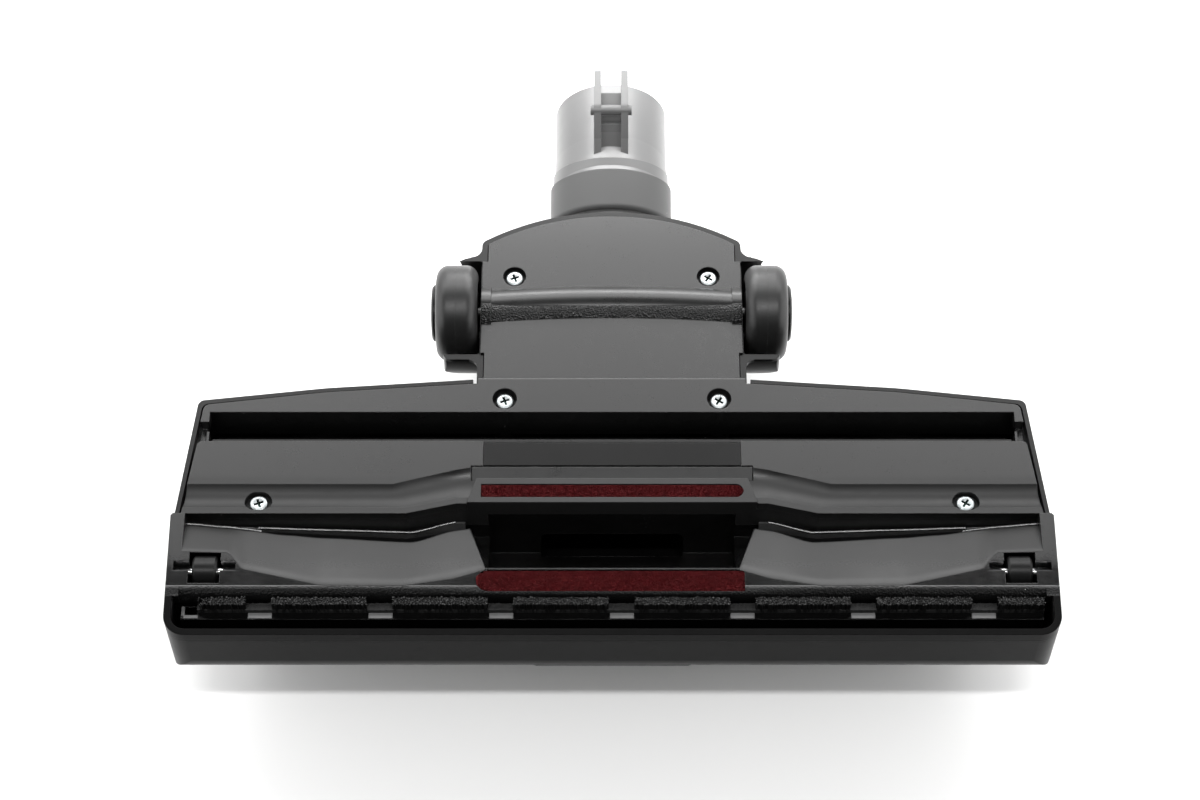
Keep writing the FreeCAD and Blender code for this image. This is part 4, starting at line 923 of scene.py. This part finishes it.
def fibre(name, side_dark, side_light, tip_dark, tip_light):
    """Black fibre whose tips are painted greyer and uneven, as painted light, and whose sides are painted
    darker, as painted shade.
    """
    made = Finish(name)
    where = made.place()
    # painted light on the tips and painted shade on the sides, blended by height
    lit_tip_share = ((made.along("Z") - (brush_high.z - TIP_BAND)) / TIP_BAND).clamped()
    strand = made.noise(where, STRAND_SIZE)
    patch = made.noise(where, TUFT_PATCH_SIZE)
    sides = made.colours(strand, grey(side_dark), grey(side_light))
    tips = made.colours(strand * 0.75 + patch * 0.25, grey(tip_dark), grey(tip_light))
    made.set(Base_Color=made.colours(lit_tip_share, sides, tips),
             Roughness=FIBRE_ROUGHNESS + strand * STRAND_ROUGHNESS,
             Normal=made.bump(strand, STRAND_DEPTH), Specular_IOR_Level=FIBRE_SHINE)
    return made.material


for name, values in FIBRES.items():
    finishes[name] = fibre(name, *values)
print("fibres:", sorted(FIBRES))

# %% [markdown]
# Each tuft is a grid of thin three-sided fibres round a dark core, and only the tips are shifted.
# Thousands of loose hairs would look the same from here and weigh far more. The outer end of the
# first tuft is worn thin, as on the real one.

# %% Brush tufts
FIBRE_PITCH = 0.42 * MM
FIBRE_ROW = FIBRE_PITCH * 0.9
FIBRE_FOOT = 0.17 * MM
FIBRE_TOP = 0.21 * MM
FIBRE_LEAN = 0.2
CORE_INSET = 0.3 * MM
TIP_RAGGED = 0.35 * MM
TIP_SHIFT = 0.2 * MM
WORN_END = 4.0 * MM
TUFT_FRONT = brush_low.y + 1.3 * MM


def tuft_spans():
    """Where each tuft starts and ends, read from the model's plain tufts."""
    vertices = [v.co for v in frame["nodes"]["front_bristles"].data.vertices]
    edges = sorted({round(place.x, 5) for place in vertices if place.z > brush_high.z - 2 * CLOSE})
    return list(zip(edges[::2], edges[1::2]))


def tuft(left, right, seed):
    """One tuft: a dark core, with rows of fibre round and over it."""
    core = block(Vector((left + CORE_INSET, TUFT_FRONT + CORE_INSET, brush_low.z)),
                 Vector((right - CORE_INSET, brush_high.y - CORE_INSET, brush_high.z - TIP_BAND)))
    long = brush_high.z - brush_low.z
    fibres = start(bpy.ops.mesh.primitive_cone_add, vertices=3, radius1=FIBRE_FOOT, radius2=FIBRE_TOP,
                   depth=long, location=(left + FIBRE_PITCH / 2, TUFT_FRONT + FIBRE_PITCH / 2,
                                         brush_low.z + long / 2))
    settle(fibres)
    one = len(fibres.data.vertices)
    rows(fibres, (FIBRE_PITCH, 0, 0), round((right - left) / FIBRE_PITCH))
    rows(fibres, (0, FIBRE_ROW, 0), round((brush_high.y - TUFT_FRONT) / FIBRE_ROW))
    mesh = fibres.data
    for first in range(0, len(mesh.vertices), one):
        shorter = random.uniform(0, TIP_RAGGED)
        aside = Vector((random.uniform(-FIBRE_LEAN, FIBRE_LEAN) * MM,
                        random.uniform(-FIBRE_LEAN, FIBRE_LEAN) * MM, 0))
        for i in range(first, first + one):
            mesh.vertices[i].co += aside
            if mesh.vertices[i].co.z > brush_high.z - CLOSE:
                mesh.vertices[i].co.z -= shorter
    pick(fibres, lambda place: place.z > brush_high.z - TIP_BAND)
    bpy.ops.transform.vertex_random(offset=TIP_SHIFT, uniform=1.0, seed=seed)
    object_mode()
    return core, fibres, one


tufts = []
for seed, (left, right) in enumerate(tuft_spans()):
    core, fibres, one = tuft(left, right, seed)
    if seed == 0:
        thin_out(fibres, one, lambda at: random.random() < (at.x - left) / WORN_END)
        pick(core, lambda place: place.x < left + 1 * MM)
        bpy.ops.transform.translate(value=(WORN_END, 0, 0))
        object_mode()
    tufts += [core, fibres]
brush = merge(tufts, "brush_tufts")
dress(brush, finishes["bristle_fibre"])
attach(brush, "brush")
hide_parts("front_bristles")
print("brush has", len(tuft_spans()), "tufts and", len(brush.data.polygons), "faces")

# %% [markdown]
# Between the tufts the woven backing that carries them shows as a rough dark grey band. Bump alone
# would leave its outline straight, so it is a low bar that is divided into many small squares,
# whose top is shifted at random.

# %% Brush backing
BACKING_TOP = spot(0, 0, -4.6).z
BACKING_FRONT = brush_high.y - 2.6 * MM
BACKING_BACK = brush_high.y - 0.2 * MM
WEAVE = 0.6 * MM
WEAVE_SHIFT = 0.12 * MM
backing = block(Vector((brush_low.x, BACKING_FRONT, brush_low.z)),
                Vector((brush_high.x, BACKING_BACK, BACKING_TOP)))
pick(backing, lambda place: True)
for cut in range(1, int((brush_high.x - brush_low.x) / WEAVE)):
    bpy.ops.mesh.select_all(action="SELECT")
    bpy.ops.mesh.bisect(plane_co=(brush_low.x + cut * WEAVE, 0, 0), plane_no=(1, 0, 0))
for cut in range(1, round((BACKING_BACK - BACKING_FRONT) / WEAVE)):
    bpy.ops.mesh.select_all(action="SELECT")
    bpy.ops.mesh.bisect(plane_co=(0, BACKING_FRONT + cut * WEAVE, 0), plane_no=(0, 1, 0))
object_mode()
pick(backing, lambda place: place.z > BACKING_TOP - CLOSE)
bpy.ops.transform.vertex_random(offset=WEAVE_SHIFT, uniform=1.0, seed=11)
object_mode()
backing.name = "brush_backing"
dress(backing, finishes["brush_backing"])
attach(backing, "brush")
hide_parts("front_bristles")
print("backing has", len(backing.data.polygons), "faces")

# %% [markdown]
# In front of the backing the carrier has a smooth pad in each gap, and an angled one at the left
# end. The pads are painted pale grey, which is painted light: the light that falls through the gaps
# onto the carrier. Each pad is a low block with rounded edges, and its ends follow from the tufts
# beside it, so the pads stay in their gaps whatever the tufts measure.

# %% Carrier pads
PAD_FRONT = 8.9
PAD_BACK = 10.9
PAD_TOP = -6.1
PAD_FOOT = -7.5
PAD_GAP = 0.2
END_PAD_LEFT = 5.2
END_PAD_ARM = 1.1
END_PAD_DEPTH = 1.2
END_PAD_REACH = 4.2
PAD_ROUNDING = 0.25 * MM
# pale grey: painted light that falls through the gaps between the tufts
PAD_LIT_DARK = grey(0.12)
PAD_LIT_LIGHT = grey(0.15)
PAD_CLOUD_SIZE = 1.2
PAD_CLOUD_DEPTH = 0.01
PAD_ROUGHNESS = 0.35
PAD_CLOUD_ROUGHNESS = 0.15
lit_pad_finish = Finish("carrier_pad")
pad_cloud = lit_pad_finish.noise(lit_pad_finish.place(), PAD_CLOUD_SIZE, detail=3.0)
lit_pad_finish.set(Base_Color=lit_pad_finish.colours(pad_cloud, PAD_LIT_DARK, PAD_LIT_LIGHT),
               Roughness=PAD_ROUGHNESS + pad_cloud * PAD_CLOUD_ROUGHNESS,
               Normal=lit_pad_finish.bump(pad_cloud, PAD_CLOUD_DEPTH))
finishes["carrier_pad"] = lit_pad_finish.material


def carrier_pad(left, right, back):
    """A low block with rounded edges, from millimetres."""
    made = block(spot(left, PAD_FRONT, PAD_FOOT), spot(right, back, PAD_TOP))
    use(made, "BEVEL", width=PAD_ROUNDING, segments=3)
    return made


spans = tuft_spans()
pads = [carrier_pad(before[1] / MM + PAD_GAP, after[0] / MM - PAD_GAP, PAD_BACK)
        for before, after in zip(spans, spans[1:])]
first_tuft = spans[0][0] / MM
end_left = first_tuft - END_PAD_LEFT
pads.append(carrier_pad(end_left, first_tuft + PAD_GAP, PAD_FRONT + END_PAD_DEPTH))
pads.append(carrier_pad(end_left, end_left + END_PAD_ARM, PAD_FRONT + END_PAD_REACH))
carrier = merge(pads, "carrier_pads")
dress(carrier, finishes["carrier_pad"])
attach(carrier, "brush")
print("carrier has", len(pads), "pads")

# %% [markdown]
# Six zinc screws hold the sole. Each has a pan head with a cross recess. The head is a cylinder whose
# top edge is rounded by a bevel. The recess is cut by a small tapered cross with a boolean, because a
# recess drawn by bump would stay flat to the lamp, and a last fine bevel gives the pressed edges
# their bright line. The thread, which only shows when a screw is out, is a row of cones on the shank.

# %% Screw head
HEAD_RADIUS = 3.0 * MM
HEAD_HEIGHT = 1.9 * MM
HEAD_ROUNDING = 0.85 * MM
PRESSED_EDGE = 0.07 * MM
CUTTER_ARM = (4.5 * MM, 0.9 * MM, 3.0 * MM)
CUTTER_TAPER = (0.5, 0.7, 1)
CUTTER_RISE = 0.2 * MM


def cross_cutter():
    """The driver's tip: two crossed wedges that narrow downwards."""
    arms = []
    for turn in (0, 90):
        arm = start(bpy.ops.mesh.primitive_cube_add, size=1, location=(0, 0, HEAD_HEIGHT + CUTTER_RISE))
        arm.scale = CUTTER_ARM
        settle(arm)
        pick(arm, lambda place: place.z < HEAD_HEIGHT)
        bpy.ops.transform.resize(value=CUTTER_TAPER, center_override=(0, 0, 0))
        object_mode()
        arm.rotation_euler = (0, 0, math.radians(turn))
        settle(arm)
        arms.append(arm)
    use(arms[0], "BOOLEAN", operation="UNION", object=arms[1], solver="EXACT")
    bpy.data.objects.remove(arms[1])
    return arms[0]


def screw_head():
    """A pan head with a cross recess, with its underside at height 0."""
    head = start(bpy.ops.mesh.primitive_cylinder_add, vertices=64, radius=HEAD_RADIUS,
                 depth=HEAD_HEIGHT, location=(0, 0, HEAD_HEIGHT / 2))
    settle(head)
    pick(head, lambda place: place.z > HEAD_HEIGHT - CLOSE, "EDGE")
    bpy.ops.mesh.bevel(offset=HEAD_ROUNDING, segments=7, affect="EDGES")
    object_mode()
    cutter = cross_cutter()
    use(head, "BOOLEAN", operation="DIFFERENCE", object=cutter, solver="EXACT")
    bpy.data.objects.remove(cutter)
    use(head, "BEVEL", width=PRESSED_EDGE, segments=2, limit_method="ANGLE",
        angle_limit=math.radians(40))
    return head


print("screw heads are", 2 * HEAD_RADIUS / MM, "mm wide")

# %% Screws
SHANK_RADIUS = 1.15 * MM
SHANK_LAP = 0.1 * MM
THREAD_ROOT = 1.2 * MM
THREAD_CREST = 1.48 * MM
THREAD_WIDTH = 0.4 * MM
THREAD_START = 1.2 * MM
THREAD_PITCH = 0.9 * MM
PLAIN_LENGTH = 2.5 * MM
LEFT_TURN = 20
RIGHT_TURN = 57


def screw_model(length):
    """A screw on its shank, with the underside of its head at height 0."""
    head = screw_head()
    shank = start(bpy.ops.mesh.primitive_cylinder_add, vertices=32, radius=SHANK_RADIUS, depth=length,
                  location=(0, 0, SHANK_LAP - length / 2))
    settle(shank)
    ring = start(bpy.ops.mesh.primitive_cone_add, vertices=32, radius1=THREAD_ROOT,
                 radius2=THREAD_CREST, depth=THREAD_WIDTH, location=(0, 0, -THREAD_START))
    settle(ring)
    rows(ring, (0, 0, -THREAD_PITCH), int((length - PLAIN_LENGTH) / THREAD_PITCH))
    screw = merge([head, shank, ring], "screw")
    bpy.ops.object.shade_smooth_by_angle(angle=math.radians(35))
    return screw


def screw_pair(node, name):
    """Both screws of a pair, each turned as it happened to stop."""
    low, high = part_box(node)
    middle_y = (low.y + high.y) / 2
    pair = []
    for x, turn in ((low.x + HEAD_RADIUS, LEFT_TURN), (high.x - HEAD_RADIUS, RIGHT_TURN)):
        screw = screw_model(high.z - low.z - HEAD_HEIGHT)
        screw.rotation_euler = (0, 0, math.radians(turn))
        screw.location = (x, middle_y, high.z - HEAD_HEIGHT)
        settle(screw)
        pair.append(screw)
    made = merge(pair, name)
    right_top = Vector((high.x - HEAD_RADIUS, middle_y, high.z))
    dress(made, metal("zinc_" + name, *ZINC, right_top))
    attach(made, "head")
    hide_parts(node)
    print(name, len(made.data.polygons), "faces")


for place_name in ("neck", "flange", "sole"):
    screw_pair(place_name + "_screws", place_name + "_cross_screws")

# %% [markdown]
# The floor is a matt white sweep. Its colour is nearly white and faintly warm, and a very slow
# mottling keeps it from being one flat value.

# %% Floor
MOTTLE_SIZE = 400.0
SWEEP_DARK = (0.90, 0.90, 0.895)
SWEEP_LIGHT = (0.93, 0.93, 0.925)
SWEEP_ROUGHNESS = 0.55
sweep = Finish("sweep")
mottle = sweep.noise(sweep.place(), MOTTLE_SIZE)
sweep.set(Base_Color=sweep.colours(mottle, SWEEP_DARK, SWEEP_LIGHT), Roughness=SWEEP_ROUGHNESS)
floor.data.materials.append(sweep.material)
print("floor finish:", floor.data.materials[0].name)

# %% [markdown]
# The model's record says which finish each piece takes, so the mouldings, wheels and pins are
# dressed in one loop. The plain screws need none, because modelled ones stand in their place. Two
# pieces differ from their record: the small panel is duller than the sole, and the axle is darker
# than the pins.

# %% Dress the pieces of the model
dressed = [part for part in frame["record"]["subparts"] if part["material_slot"] in finishes]
for part in dressed:
    dress(frame["nodes"][part["node"]], finishes[part["material_slot"]])
dress(frame["nodes"]["centre_panel"], finishes["panel_plastic"])
dress(frame["nodes"]["wheel_axle"], finishes["axle_steel"])
print("dressed", len(dressed), "pieces")
